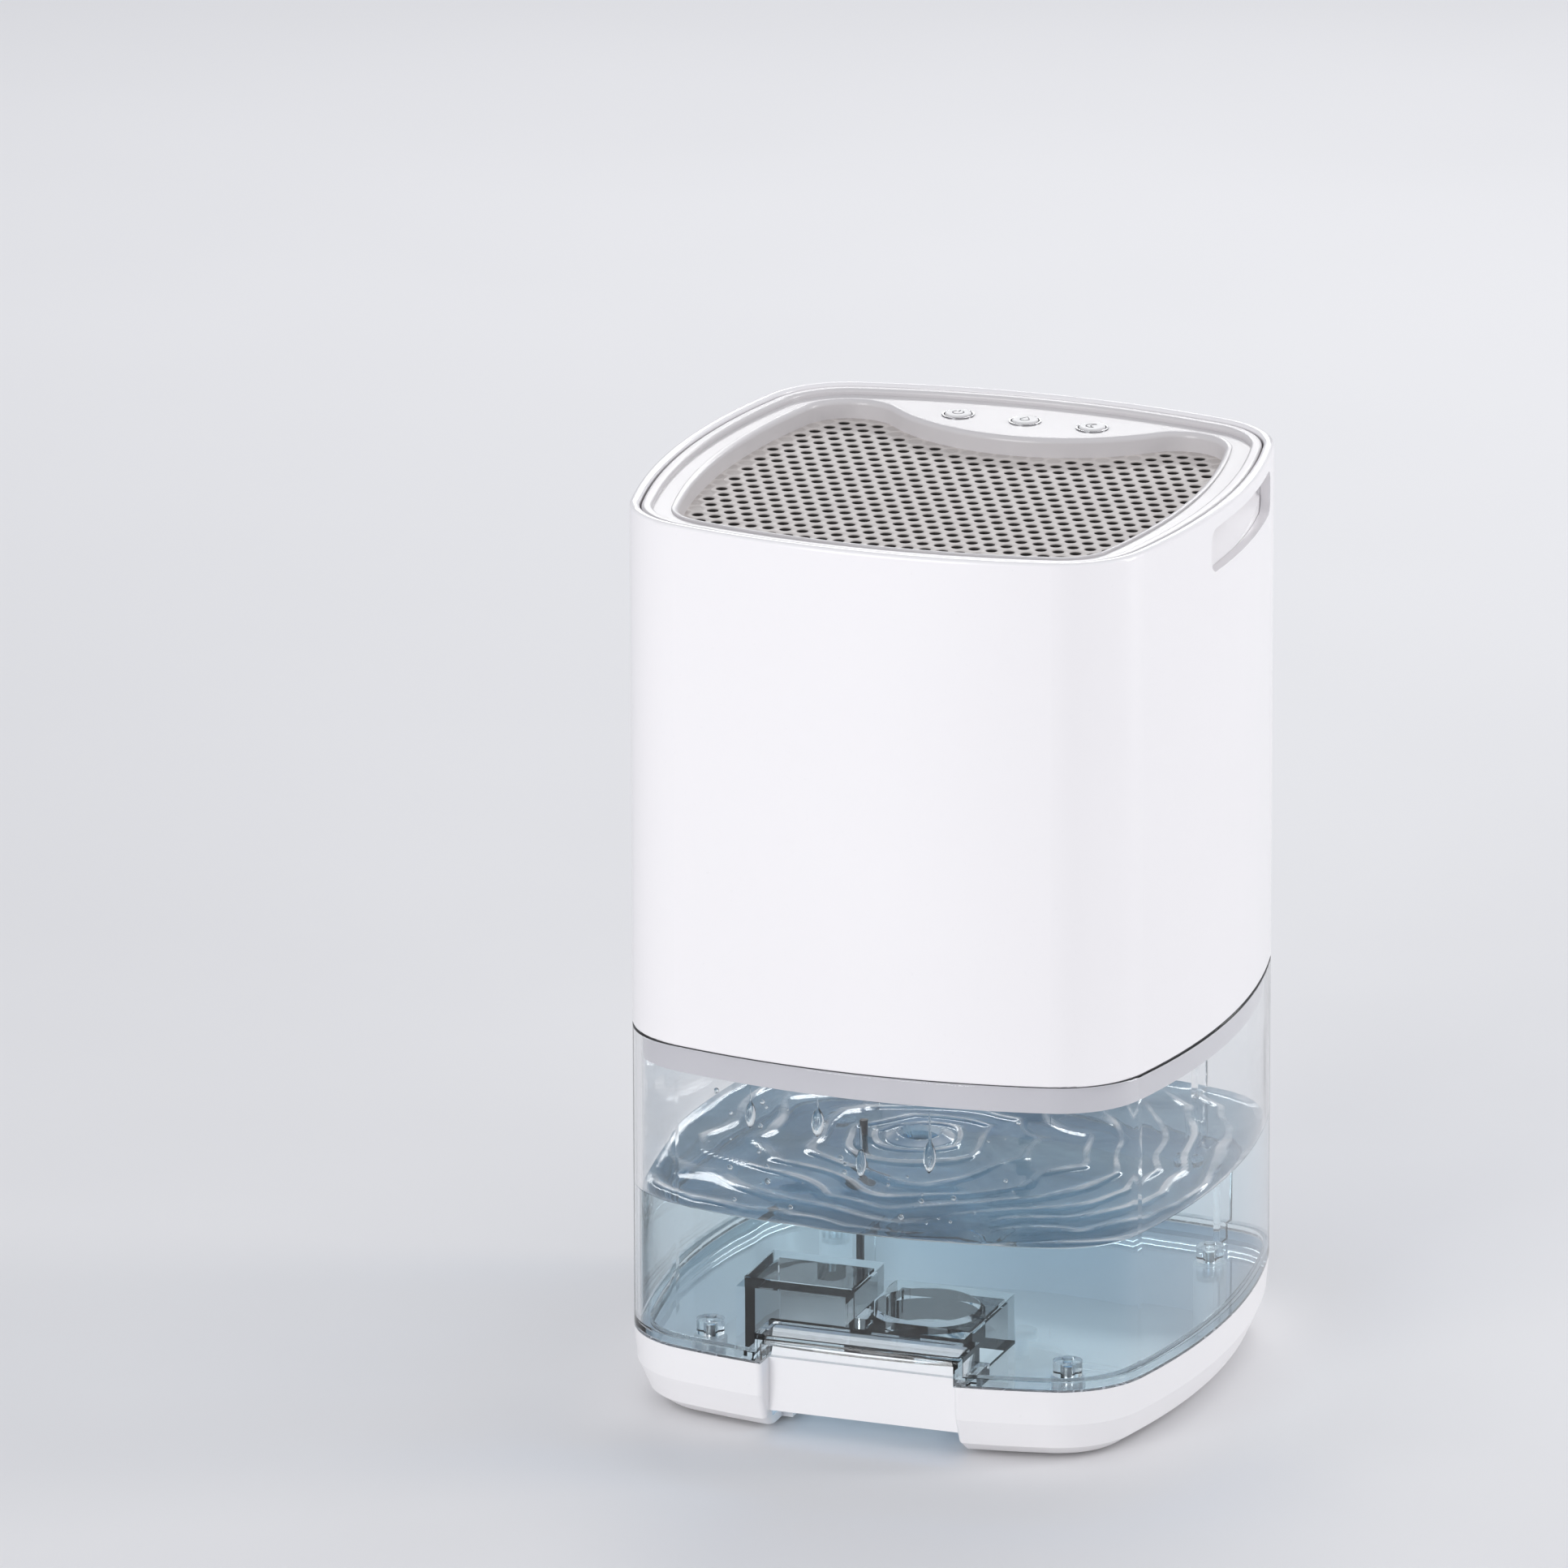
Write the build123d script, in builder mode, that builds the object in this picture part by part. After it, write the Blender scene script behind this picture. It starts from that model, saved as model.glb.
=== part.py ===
from build123d import *
from math import cos, hypot, radians, sin, sqrt
import os

os.makedirs("parts", exist_ok=True)

# Desk-top Peltier dehumidifier: a white housing that lifts off a clear water tank.
# Millimetres. The origin is on the floor under the middle of the body; -Y is the front, +Z is up.

# ---- driving dimensions ----
HALF_WIDTH = 78.0            # body half width and half depth, at the middle of a side
SIDE_RADIUS = 220.0          # each side is a shallow arc
CORNER_RADIUS = 26.0
HEIGHT = 250.0
FLOOR_GAP = 1.5              # the rubber feet stand this far out of the base
BASE_TOP = 21.5
TANK_TOP = 106.0
SHELL_BOTTOM = 106.3
SKIRT_BOTTOM = 98.5

SHELL_WALL = 2.7
TANK_WALL = 2.4
TANK_STEP = 24.0             # above this the clear wall is flush, below it steps into the base
TANK_FLOOR_TOP = 19.6
TANK_FLOOR_BOTTOM = 17.2
CUP_INSET = 3.0              # outside of the tank's stepped-in bottom
CUP_INNER = 5.2
FIT = 0.3                    # gap between parts that lift apart
SLIP = 0.1                   # gap between parts of one assembly

# front finger notch of the base and the tank
NOTCH_HALF = 27.0
NOTCH_WALL_Y = -69.9         # front face of the recessed wall
NOTCH_GAP_TOP = 6.5          # the recessed wall ends this high, which leaves room for fingers
LEDGE_LOW_Z = 18.5
LEDGE_HIGH_Z = 27.0
LEDGE_RUN = 4.7              # how far the ledge slopes back
NOTCH_SKIN = 2.4

# top
COVER_INSET = SHELL_WALL + 0.4
LIP_WIDTH = 3.0
LIP_TOP = 249.4
PANEL_TOP = 247.8
PANEL_BOTTOM = 246.0
GRILLE_INSET = 13.0
GRILLE_TOP = 243.2
GRILLE_THICKNESS = 1.8
DIP_Y = 40.0                 # the grille's rear edge dips forward to here, behind the buttons
COLLAR_WIDTH = 2.0
COLLAR_TOP = 248.4
HOLE_RADIUS = 1.6
HOLE_PITCH_X = 4.8
HOLE_PITCH_Y = 4.9

# side grips
GRIP_FRONT_Y = -15.0
GRIP_REAR_Y = 45.0
GRIP_BOTTOM = 233.5
GRIP_TOP = 245.5
GRIP_DEPTH_X = 68.8          # the pocket's inner wall
GRIP_SKIN = 1.5

# buttons
BUTTON_Y = 57.0
BUTTON_PITCH = 19.0
BUTTON_RADIUS = 3.6
BUTTON_TOP = 248.5
BUTTON_TRAVEL = 0.8
BEZEL_OUTER = 4.4
BEZEL_INNER = 3.9

# inside
PAN_FLOOR_BOTTOM = 101.0
PAN_FLOOR_TOP = 103.0
PAN_INSET = 4.9
SPIGOT_TOP = 109.0
SPOUT_X, SPOUT_Y = -12.0, 7.0
BOSS_AT = 57.8               # bosses at (+-BOSS_AT, +-BOSS_AT) take the chassis screws
PILLAR_AT = 50.0
DECK_BOTTOM = 204.0
DECK_TOP = 206.5
FAN_HALF = 46.0
FAN_HEIGHT = 25.0
FAN_BORE = 43.5
FAN_HOLES = 82.5
INLET_HALF = 45.0
INLET_BOTTOM, INLET_TOP = 126.0, 198.0
MODULE_Z = 158.0             # centre height of the Peltier module
MODULE_SIZE = 40.0
MODULE_THICKNESS = 3.9
HOT_FACE_Y = 36.0            # the hot sink's plate ends here and the module begins
JACK_Z = 115.0
FLOAT_Y = 57.0
FLOAT_BOTTOM = 54.0
FLOAT_HEIGHT = 14.0
REED_HEIGHT = 4.5

SIDE_CENTRE = SIDE_RADIUS - HALF_WIDTH
# The corner arcs touch the side arcs from inside: this is each corner arc's centre in x and y.
CORNER_AT = (sqrt(2 * (SIDE_RADIUS - CORNER_RADIUS) ** 2 - SIDE_CENTRE**2) - SIDE_CENTRE) / 2
TOUCH_X = (CORNER_AT + SIDE_CENTRE) / (SIDE_RADIUS - CORNER_RADIUS)
TOUCH_Y = CORNER_AT / (SIDE_RADIUS - CORNER_RADIUS)

# The grille's dip is an arc that touches both rear corner arcs from outside.
GRILLE_CORNER = CORNER_RADIUS - GRILLE_INSET
DIP_RADIUS = (
    (CORNER_AT**2 + (DIP_Y - CORNER_AT) ** 2 - GRILLE_CORNER**2)
    / (2 * (GRILLE_CORNER - DIP_Y + CORNER_AT))
)
DIP_CENTRE = DIP_Y + DIP_RADIUS


# ---- shared outlines and fasteners ----
def body_outline(inset=0.0):
    """Draws the body's plan, moved inwards by inset, in the sketch being built."""
    corner = CORNER_RADIUS - inset
    touch = Vector(CORNER_AT + corner * TOUCH_X, CORNER_AT + corner * TOUCH_Y)
    corner_mid = Vector(CORNER_AT + corner / sqrt(2), CORNER_AT + corner / sqrt(2))
    with BuildLine() as outline:
        for turn in (0, 90, 180, 270):
            start = Vector(touch.X, -touch.Y).rotate(Axis.Z, turn)
            middle = Vector(HALF_WIDTH - inset, 0).rotate(Axis.Z, turn)
            end = touch.rotate(Axis.Z, turn)
            after = Vector(touch.Y, touch.X).rotate(Axis.Z, turn)
            ThreePointArc(start, middle, end)
            ThreePointArc(end, corner_mid.rotate(Axis.Z, turn), after)
    make_face(outline.edges())


def grille_outline(inset=0.0):
    """Draws the outlet's plan: the body's plan with a dip in its rear edge."""
    corner = GRILLE_CORNER - inset
    half = HALF_WIDTH - GRILLE_INSET - inset
    touch = Vector(CORNER_AT + corner * TOUCH_X, CORNER_AT + corner * TOUCH_Y)
    diagonal = CORNER_AT + corner / sqrt(2)
    reach = DIP_RADIUS + GRILLE_CORNER
    dip_x = CORNER_AT - corner * CORNER_AT / reach
    dip_y = CORNER_AT + corner * (DIP_CENTRE - CORNER_AT) / reach
    with BuildLine() as outline:
        ThreePointArc((-touch.Y, -touch.X), (0, -half), (touch.Y, -touch.X))
        ThreePointArc((touch.Y, -touch.X), (diagonal, -diagonal), (touch.X, -touch.Y))
        ThreePointArc((touch.X, -touch.Y), (half, 0), (touch.X, touch.Y))
        ThreePointArc((touch.X, touch.Y), (diagonal, diagonal), (dip_x, dip_y))
        ThreePointArc((dip_x, dip_y), (0, DIP_Y - inset), (-dip_x, dip_y))
        ThreePointArc((-dip_x, dip_y), (-diagonal, diagonal), (-touch.X, touch.Y))
        ThreePointArc((-touch.X, touch.Y), (-half, 0), (-touch.X, -touch.Y))
        ThreePointArc((-touch.X, -touch.Y), (-diagonal, -diagonal), (-touch.Y, -touch.X))
    make_face(outline.edges())


def in_grille(x, y, margin):
    """True where a point lies inside the outlet's plan by at least margin."""
    x = abs(x)
    side = SIDE_RADIUS - GRILLE_INSET - margin
    if hypot(x + SIDE_CENTRE, y) > side or hypot(x, abs(y) + SIDE_CENTRE) > side:
        return False
    if hypot(x, y - DIP_CENTRE) < DIP_RADIUS + margin:
        return False
    past_corner = x > CORNER_AT and abs(y) > CORNER_AT
    return not past_corner or hypot(x - CORNER_AT, abs(y) - CORNER_AT) < GRILLE_CORNER - margin


def corners(at):
    """The four places (+-at, +-at)."""
    return [(-at, -at), (at, -at), (at, at), (-at, at)]


def screws(spots, seat, into, head_radius=2.8, head_height=2.0, shank_radius=1.2):
    """Adds screws whose heads bear on height seat and whose shanks run to height into."""
    away = -1 if into > seat else 1
    with BuildSketch(Plane.XY.offset(seat)) as heads:
        with Locations(*spots):
            Circle(head_radius)
    extrude(heads.sketch, amount=away * head_height)
    with BuildSketch(Plane.XY.offset(seat)) as shanks:
        with Locations(*spots):
            Circle(shank_radius)
    extrude(shanks.sketch, amount=into - seat)


def bore(spots, low, high, radius):
    """Cuts round holes along Z between two heights."""
    with BuildSketch(Plane.XY.offset(low)) as circles:
        with Locations(*spots):
            Circle(radius)
    extrude(circles.sketch, amount=high - low, mode=Mode.SUBTRACT)


def prism(low, high, inset):
    """Adds a solid with the body's plan between two heights."""
    with BuildSketch(Plane.XY.offset(low)) as plan:
        body_outline(inset)
    extrude(plan.sketch, amount=high - low)


def hollow(low, high, inset):
    """Cuts the body's plan away between two heights."""
    with BuildSketch(Plane.XY.offset(low)) as plan:
        body_outline(inset)
    extrude(plan.sketch, amount=high - low, mode=Mode.SUBTRACT)


def block(low, high, mode=Mode.ADD):
    """Adds or cuts a box between two corners."""
    size = Vector(*high) - Vector(*low)
    with Locations((Vector(*high) + Vector(*low)) * 0.5):
        Box(size.X, size.Y, size.Z, mode=mode)


def cable(route, bend, radius):
    """Adds a round wire along straight runs joined by arcs."""
    with BuildLine() as line:
        path = FilletPolyline(*route, radius=bend)
    with BuildSketch(Plane(origin=path @ 0, z_dir=path % 0)) as section:
        Circle(radius)
    sweep(section.sketch, path=line.line)


def save(piece, name):
    """Labels a finished piece and writes its STEP file."""
    piece.part.label = name
    export_step(piece.part, f"parts/{name}.step")


# ---- base cover: white tray under the tank, with the finger notch in front ----
BASE_FLOOR_TOP = 4.0
FINGER_HALF, FINGER_FRONT_Y, FINGER_BACK_Y = 24.0, -66.0, -40.0
FOOT_RADIUS, FOOT_TOP = 7.0, 2.5
SCREW_SEAT = 6.0
TANK_BOSS_RISE = 4.0
NOTCH_ROUND = 1.5

with BuildPart() as base_cover:
    for height, inset in ((BASE_TOP, 0.0), (12.0, 0.9), (4.5, 4.2), (FLOOR_GAP, 8.5)):
        with BuildSketch(Plane.XY.offset(height)):
            body_outline(inset)
    loft(ruled=True)
    for levels in (((BASE_TOP, 2.6), (13.0, 2.6)), ((13.0, 4.5), (BASE_FLOOR_TOP, 9.0))):
        for height, inset in levels:
            with BuildSketch(Plane.XY.offset(height)):
                body_outline(inset)
                with Locations((0, -HALF_WIDTH)):
                    Rectangle(
                        2 * (NOTCH_HALF + NOTCH_SKIN),
                        2 * (HALF_WIDTH + NOTCH_WALL_Y + NOTCH_SKIN),
                        mode=Mode.SUBTRACT,
                    )
        loft(ruled=True, mode=Mode.SUBTRACT)
    block((-NOTCH_HALF, -90, 0), (NOTCH_HALF, NOTCH_WALL_Y, BASE_TOP + 1), Mode.SUBTRACT)
    block((-NOTCH_HALF, -90, 0), (NOTCH_HALF, -60, NOTCH_GAP_TOP), Mode.SUBTRACT)
    block((-FINGER_HALF, FINGER_FRONT_Y, 0), (FINGER_HALF, FINGER_BACK_Y, 8), Mode.SUBTRACT)
    with BuildSketch(Plane.YZ.offset(-NOTCH_HALF)):
        with BuildLine():
            Polyline(
                (NOTCH_WALL_Y, LEDGE_LOW_Z),
                (NOTCH_WALL_Y + LEDGE_RUN, LEDGE_HIGH_Z),
                (NOTCH_WALL_Y + LEDGE_RUN + NOTCH_SKIN, LEDGE_HIGH_Z),
                (NOTCH_WALL_Y + NOTCH_SKIN, LEDGE_LOW_Z),
                close=True,
            )
        make_face()
    extrude(amount=2 * NOTCH_HALF)
    # the notch's outer corners are rounded
    for side in (-1, 1):
        at = side * NOTCH_HALF
        wall_edges = base_cover.edges().filter_by_position(Axis.X, at - 0.01, at + 0.01)
        outer_edges = [edge for edge in wall_edges if edge.center().Y < NOTCH_WALL_Y - 1]
        fillet([edge for edge in outer_edges if abs((edge @ 1 - edge @ 0).Z) > 1], NOTCH_ROUND)
    # bosses that the base screws pass through, and the seats of the feet below them
    with BuildSketch(Plane.XY.offset(BASE_FLOOR_TOP)):
        with Locations(*corners(PILLAR_AT)):
            Circle(4.5)
    extrude(amount=TANK_FLOOR_BOTTOM - BASE_FLOOR_TOP)
    bore(corners(PILLAR_AT), 0, TANK_FLOOR_BOTTOM, 1.7)
    bore(corners(PILLAR_AT), 0, SCREW_SEAT, 3.2)
    bore(corners(PILLAR_AT), 0, FOOT_TOP, FOOT_RADIUS + SLIP)
save(base_cover, "base_cover")

with BuildPart() as rubber_feet:
    with BuildSketch():
        with Locations(*corners(PILLAR_AT)):
            Circle(FOOT_RADIUS)
    extrude(amount=FOOT_TOP)
    fillet(rubber_feet.edges().group_by(Axis.Z)[0], 0.6)
save(rubber_feet, "rubber_feet")

with BuildPart() as base_screws:
    screws(corners(PILLAR_AT), SCREW_SEAT, TANK_FLOOR_TOP + TANK_BOSS_RISE - 1.4)
save(base_screws, "base_screws")

# ---- water tank: clear box, stepped in over the notch ----
POCKET_SKIN = 2.2
RIB_X, RIB_FRONT_Y, RIB_BACK_Y, RIB_TOP = 47.0, 62.0, 70.5, 92.0
NOTCH_VOID_TOP = LEDGE_HIGH_Z + 0.2
NOTCH_VOID_Y = NOTCH_WALL_Y + LEDGE_RUN + NOTCH_SKIN + 0.2
STEP_BACK_Y = NOTCH_VOID_Y + POCKET_SKIN
STEP_LOW_HALF = NOTCH_HALF + 5
STEP_HALF = NOTCH_HALF + POCKET_SKIN
STEP_TOP = NOTCH_VOID_TOP + POCKET_SKIN
POCKET_LEFT, POCKET_MIDDLE, POCKET_RIGHT = -36.0, -5.0, 28.0
POCKET_HIGH, POCKET_LOW = 41.0, 33.0
POCKET_HIGH_BACK, POCKET_LOW_BACK = -38.5, -28.5
DISH_X, DISH_Y, DISH_RADIUS, DISH_FLOOR = 9.5, -45.5, 14.0, 27.0

with BuildPart() as water_tank:
    prism(BASE_TOP, TANK_TOP, 0.0)
    fillet(water_tank.edges().group_by(Axis.Z)[-1], 0.5)
    prism(TANK_FLOOR_BOTTOM, BASE_TOP, CUP_INSET)
    hollow(TANK_STEP, TANK_TOP + 1, TANK_WALL)
    hollow(TANK_FLOOR_TOP, TANK_STEP, CUP_INNER)
    # the floor is open under the finger pockets
    block((POCKET_LEFT, NOTCH_VOID_Y, 0), (POCKET_MIDDLE, POCKET_HIGH_BACK, TANK_FLOOR_TOP), Mode.SUBTRACT)
    block((POCKET_MIDDLE, NOTCH_VOID_Y, 0), (POCKET_RIGHT, POCKET_LOW_BACK, TANK_FLOOR_TOP), Mode.SUBTRACT)
    # step over the notch, first solid and then hollow
    block((-STEP_LOW_HALF, -71, TANK_FLOOR_BOTTOM), (STEP_LOW_HALF, STEP_BACK_Y, TANK_STEP))
    block((-STEP_HALF, -74, TANK_STEP), (STEP_HALF, STEP_BACK_Y, STEP_TOP))
    block((-NOTCH_HALF - 0.2, -90, 0), (NOTCH_HALF + 0.2, NOTCH_VOID_Y, NOTCH_VOID_TOP), Mode.SUBTRACT)
    block(
        (-NOTCH_HALF - NOTCH_SKIN - 0.4, -90, 0),
        (NOTCH_HALF + NOTCH_SKIN + 0.4, NOTCH_VOID_Y, BASE_TOP),
        Mode.SUBTRACT,
    )
    # two upright ribs on the rear wall
    for side in (-1, 1):
        left, right = side * RIB_X - 1, side * RIB_X + 1
        block((left, RIB_FRONT_Y, TANK_FLOOR_TOP), (right, RIB_BACK_Y - 2.5, TANK_STEP))
        block((left, RIB_FRONT_Y, TANK_STEP), (right, RIB_BACK_Y, RIB_TOP))
    # screw bosses on the floor
    with BuildSketch(Plane.XY.offset(TANK_FLOOR_TOP)):
        with Locations(*corners(PILLAR_AT)):
            Circle(3.8)
    extrude(amount=TANK_BOSS_RISE)
    bore(corners(PILLAR_AT), 0, TANK_FLOOR_TOP + TANK_BOSS_RISE - 1, 1.3)
save(water_tank, "water_tank")

# clear moulding bonded into the floor opening: a high pocket, and a low one with a round dish in its roof
with BuildPart() as finger_pockets:
    block((POCKET_LEFT, NOTCH_VOID_Y, TANK_FLOOR_BOTTOM), (POCKET_MIDDLE, POCKET_HIGH_BACK, POCKET_HIGH))
    block((POCKET_MIDDLE, NOTCH_VOID_Y, TANK_FLOOR_BOTTOM), (POCKET_RIGHT, POCKET_LOW_BACK, POCKET_LOW))
    block(
        (POCKET_LEFT + POCKET_SKIN, STEP_BACK_Y, 0),
        (POCKET_MIDDLE - POCKET_SKIN, POCKET_HIGH_BACK - POCKET_SKIN, POCKET_HIGH - POCKET_SKIN),
        Mode.SUBTRACT,
    )
    block(
        (POCKET_MIDDLE + POCKET_SKIN, STEP_BACK_Y, 0),
        (POCKET_RIGHT - POCKET_SKIN, POCKET_LOW_BACK - POCKET_SKIN, POCKET_LOW - POCKET_SKIN),
        Mode.SUBTRACT,
    )
    with BuildSketch(Plane.XY.offset(DISH_FLOOR - POCKET_SKIN)):
        with Locations((DISH_X, DISH_Y)):
            Circle(DISH_RADIUS + 1.2)
    extrude(amount=POCKET_LOW - DISH_FLOOR + POCKET_SKIN)
    with BuildSketch(Plane.XY.offset(DISH_FLOOR)):
        with Locations((DISH_X, DISH_Y)):
            Circle(DISH_RADIUS)
    extrude(amount=10, mode=Mode.SUBTRACT)
    # room for the tank's step
    block((-STEP_LOW_HALF, -90, 0), (STEP_LOW_HALF, STEP_BACK_Y, TANK_STEP), Mode.SUBTRACT)
    block((-STEP_HALF, -90, 0), (STEP_HALF, STEP_BACK_Y, STEP_TOP), Mode.SUBTRACT)
save(finger_pockets, "finger_pockets")

# slim upright rod that stands on the tank floor
ROD_X, ROD_Y, ROD_TOP = -27.0, 4.5, 64.5
with BuildPart() as level_rod:
    with BuildSketch(Plane.XY.offset(TANK_FLOOR_TOP)):
        with Locations((ROD_X, ROD_Y)):
            Circle(3.2)
    extrude(amount=1.2)
    with BuildSketch(Plane.XY.offset(TANK_FLOOR_TOP)):
        with Locations((ROD_X, ROD_Y)):
            Circle(1.1)
    extrude(amount=ROD_TOP - TANK_FLOOR_TOP)
save(level_rod, "level_rod")

# ---- float: a ring with a magnet on a guide post that hangs from the drip pan ----
FLOAT_RADIUS = 12.0
GUIDE_RADIUS = 2.0
GUIDE_TOP = PAN_FLOOR_BOTTOM - REED_HEIGHT
STOP_BOTTOM, STOP_TOP = 47.0, 48.5
MAGNET_TOP = FLOAT_BOTTOM + FLOAT_HEIGHT

with BuildPart() as float_guide:
    with BuildSketch(Plane.XY.offset(STOP_BOTTOM)):
        with Locations((0, FLOAT_Y)):
            Circle(4.5)
    extrude(amount=STOP_TOP - STOP_BOTTOM)
    with BuildSketch(Plane.XY.offset(STOP_BOTTOM)):
        with Locations((0, FLOAT_Y)):
            Circle(GUIDE_RADIUS)
    extrude(amount=GUIDE_TOP - STOP_BOTTOM)
    chamfer(float_guide.edges().group_by(Axis.Z)[0], 0.4)
save(float_guide, "float_guide")

with BuildPart() as float_ring:
    with BuildSketch(Plane.XY.offset(FLOAT_BOTTOM)):
        with Locations((0, FLOAT_Y)):
            Circle(FLOAT_RADIUS)
            Circle(GUIDE_RADIUS + 0.1, mode=Mode.SUBTRACT)
    extrude(amount=FLOAT_HEIGHT)
    fillet(float_ring.faces().sort_by(Axis.Z)[0].outer_wire().edges(), 1.5)
    fillet(float_ring.faces().sort_by(Axis.Z)[-1].outer_wire().edges(), 1.5)
    bore([(0, FLOAT_Y)], MAGNET_TOP - 3, MAGNET_TOP, 5.0)
save(float_ring, "float_ring")

with BuildPart() as float_magnet:
    with BuildSketch(Plane.XY.offset(MAGNET_TOP - 3)):
        with Locations((0, FLOAT_Y)):
            Circle(4.9)
            Circle(GUIDE_RADIUS + 0.1, mode=Mode.SUBTRACT)
    extrude(amount=2.6)
save(float_magnet, "float_magnet")

# ---- outer shell: white tube with the grip windows, the rear inlet window and the jack hole ----
BOSS_RADIUS = 4.5
BOSS_TOP = 126.0
SHELF_BOTTOM, SHELF_TOP = 238.0, 240.0
COVER_POST_AT = 60.0
COVER_POST_RADIUS = 2.9
JACK_RADIUS = 5.0

with BuildPart() as outer_shell:
    prism(SHELL_BOTTOM, HEIGHT, 0.0)
    hollow(SHELL_BOTTOM - 1, HEIGHT + 1, SHELL_WALL)
    fillet(outer_shell.edges().group_by(Axis.Z)[-1], 1.1)
    fillet(outer_shell.faces().sort_by(Axis.Z)[0].outer_wire().edges(), 0.5)
    # grip windows, right through from side to side
    with BuildSketch(Plane.YZ.offset(-90)):
        with Locations(((GRIP_FRONT_Y + GRIP_REAR_Y) / 2, (GRIP_BOTTOM + GRIP_TOP) / 2)):
            RectangleRounded(GRIP_REAR_Y - GRIP_FRONT_Y, GRIP_TOP - GRIP_BOTTOM, 3.5)
    extrude(amount=180, mode=Mode.SUBTRACT)
    # rear inlet window
    with BuildSketch(Plane.XZ.offset(-60)):
        with Locations((0, (INLET_BOTTOM + INLET_TOP) / 2)):
            RectangleRounded(2 * INLET_HALF, INLET_TOP - INLET_BOTTOM, 5)
    extrude(amount=-30, mode=Mode.SUBTRACT)
    with BuildSketch(Plane.XZ.offset(-60)):
        with Locations((0, JACK_Z)):
            Circle(JACK_RADIUS + 0.2)
    extrude(amount=-30, mode=Mode.SUBTRACT)
    # corner bosses for the chassis screws, each joined to the wall by a web
    with BuildSketch(Plane.XY.offset(PAN_FLOOR_TOP)):
        with Locations(*corners(BOSS_AT)):
            Circle(BOSS_RADIUS)
    extrude(amount=BOSS_TOP - PAN_FLOOR_TOP)
    for x, y in corners(BOSS_AT + 3.2):
        with BuildSketch(Plane.XY.offset(SPIGOT_TOP + 0.5)):
            with Locations(Location((x, y), 45 if x * y > 0 else -45)):
                Rectangle(9, 3)
        extrude(amount=BOSS_TOP - SPIGOT_TOP - 0.5)
    # corner shelves that carry the top cover
    with BuildSketch(Plane.XY.offset(SHELF_BOTTOM)):
        body_outline(1.5)
        Rectangle(100, 200, mode=Mode.SUBTRACT)
        Rectangle(200, 100, mode=Mode.SUBTRACT)
    extrude(amount=SHELF_TOP - SHELF_BOTTOM)
    bore(corners(BOSS_AT), PAN_FLOOR_TOP, PAN_FLOOR_TOP + 16, 1.3)
    bore(corners(COVER_POST_AT), SHELF_BOTTOM, SHELF_TOP, 1.7)
save(outer_shell, "outer_shell")

# ---- grip pockets behind the side windows ----
for side, name in ((1, "grip_cup_right"), (-1, "grip_cup_left")):
    with BuildPart() as grip_cup:
        prism(GRIP_BOTTOM - GRIP_SKIN, PANEL_BOTTOM - SLIP, SHELL_WALL + SLIP)
        keep_x = side * (GRIP_DEPTH_X - GRIP_SKIN + 20)
        with Locations((keep_x, (GRIP_FRONT_Y + GRIP_REAR_Y) / 2, GRIP_TOP)):
            Box(40, GRIP_REAR_Y - GRIP_FRONT_Y + 2 * GRIP_SKIN, 60, mode=Mode.INTERSECT)
        with BuildSketch(Plane.XZ.offset(-GRIP_REAR_Y)):
            with BuildLine():
                Polyline(
                    (side * 90, GRIP_BOTTOM),
                    (side * (HALF_WIDTH - 3), GRIP_BOTTOM),
                    (side * (GRIP_DEPTH_X + 1.2), GRIP_BOTTOM + 4.6),
                    (side * GRIP_DEPTH_X, GRIP_BOTTOM + 6.4),
                    (side * GRIP_DEPTH_X, HEIGHT),
                    (side * 90, HEIGHT),
                    close=True,
                )
            make_face()
        extrude(amount=GRIP_REAR_Y - GRIP_FRONT_Y, mode=Mode.SUBTRACT)
    save(grip_cup, name)

# ---- top cover: rimmed panel with the collar round the outlet and the button holes ----
BUTTONS = (("power_button", -BUTTON_PITCH), ("mode_button", 0.0), ("light_button", BUTTON_PITCH))
BUTTON_SPOTS = [(x, BUTTON_Y) for _, x in BUTTONS]
BOARD_TOP = 238.2
BOARD_THICKNESS = 1.6
BOARD_POSTS = [(-29.5, BUTTON_Y), (29.5, BUTTON_Y)]

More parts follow.
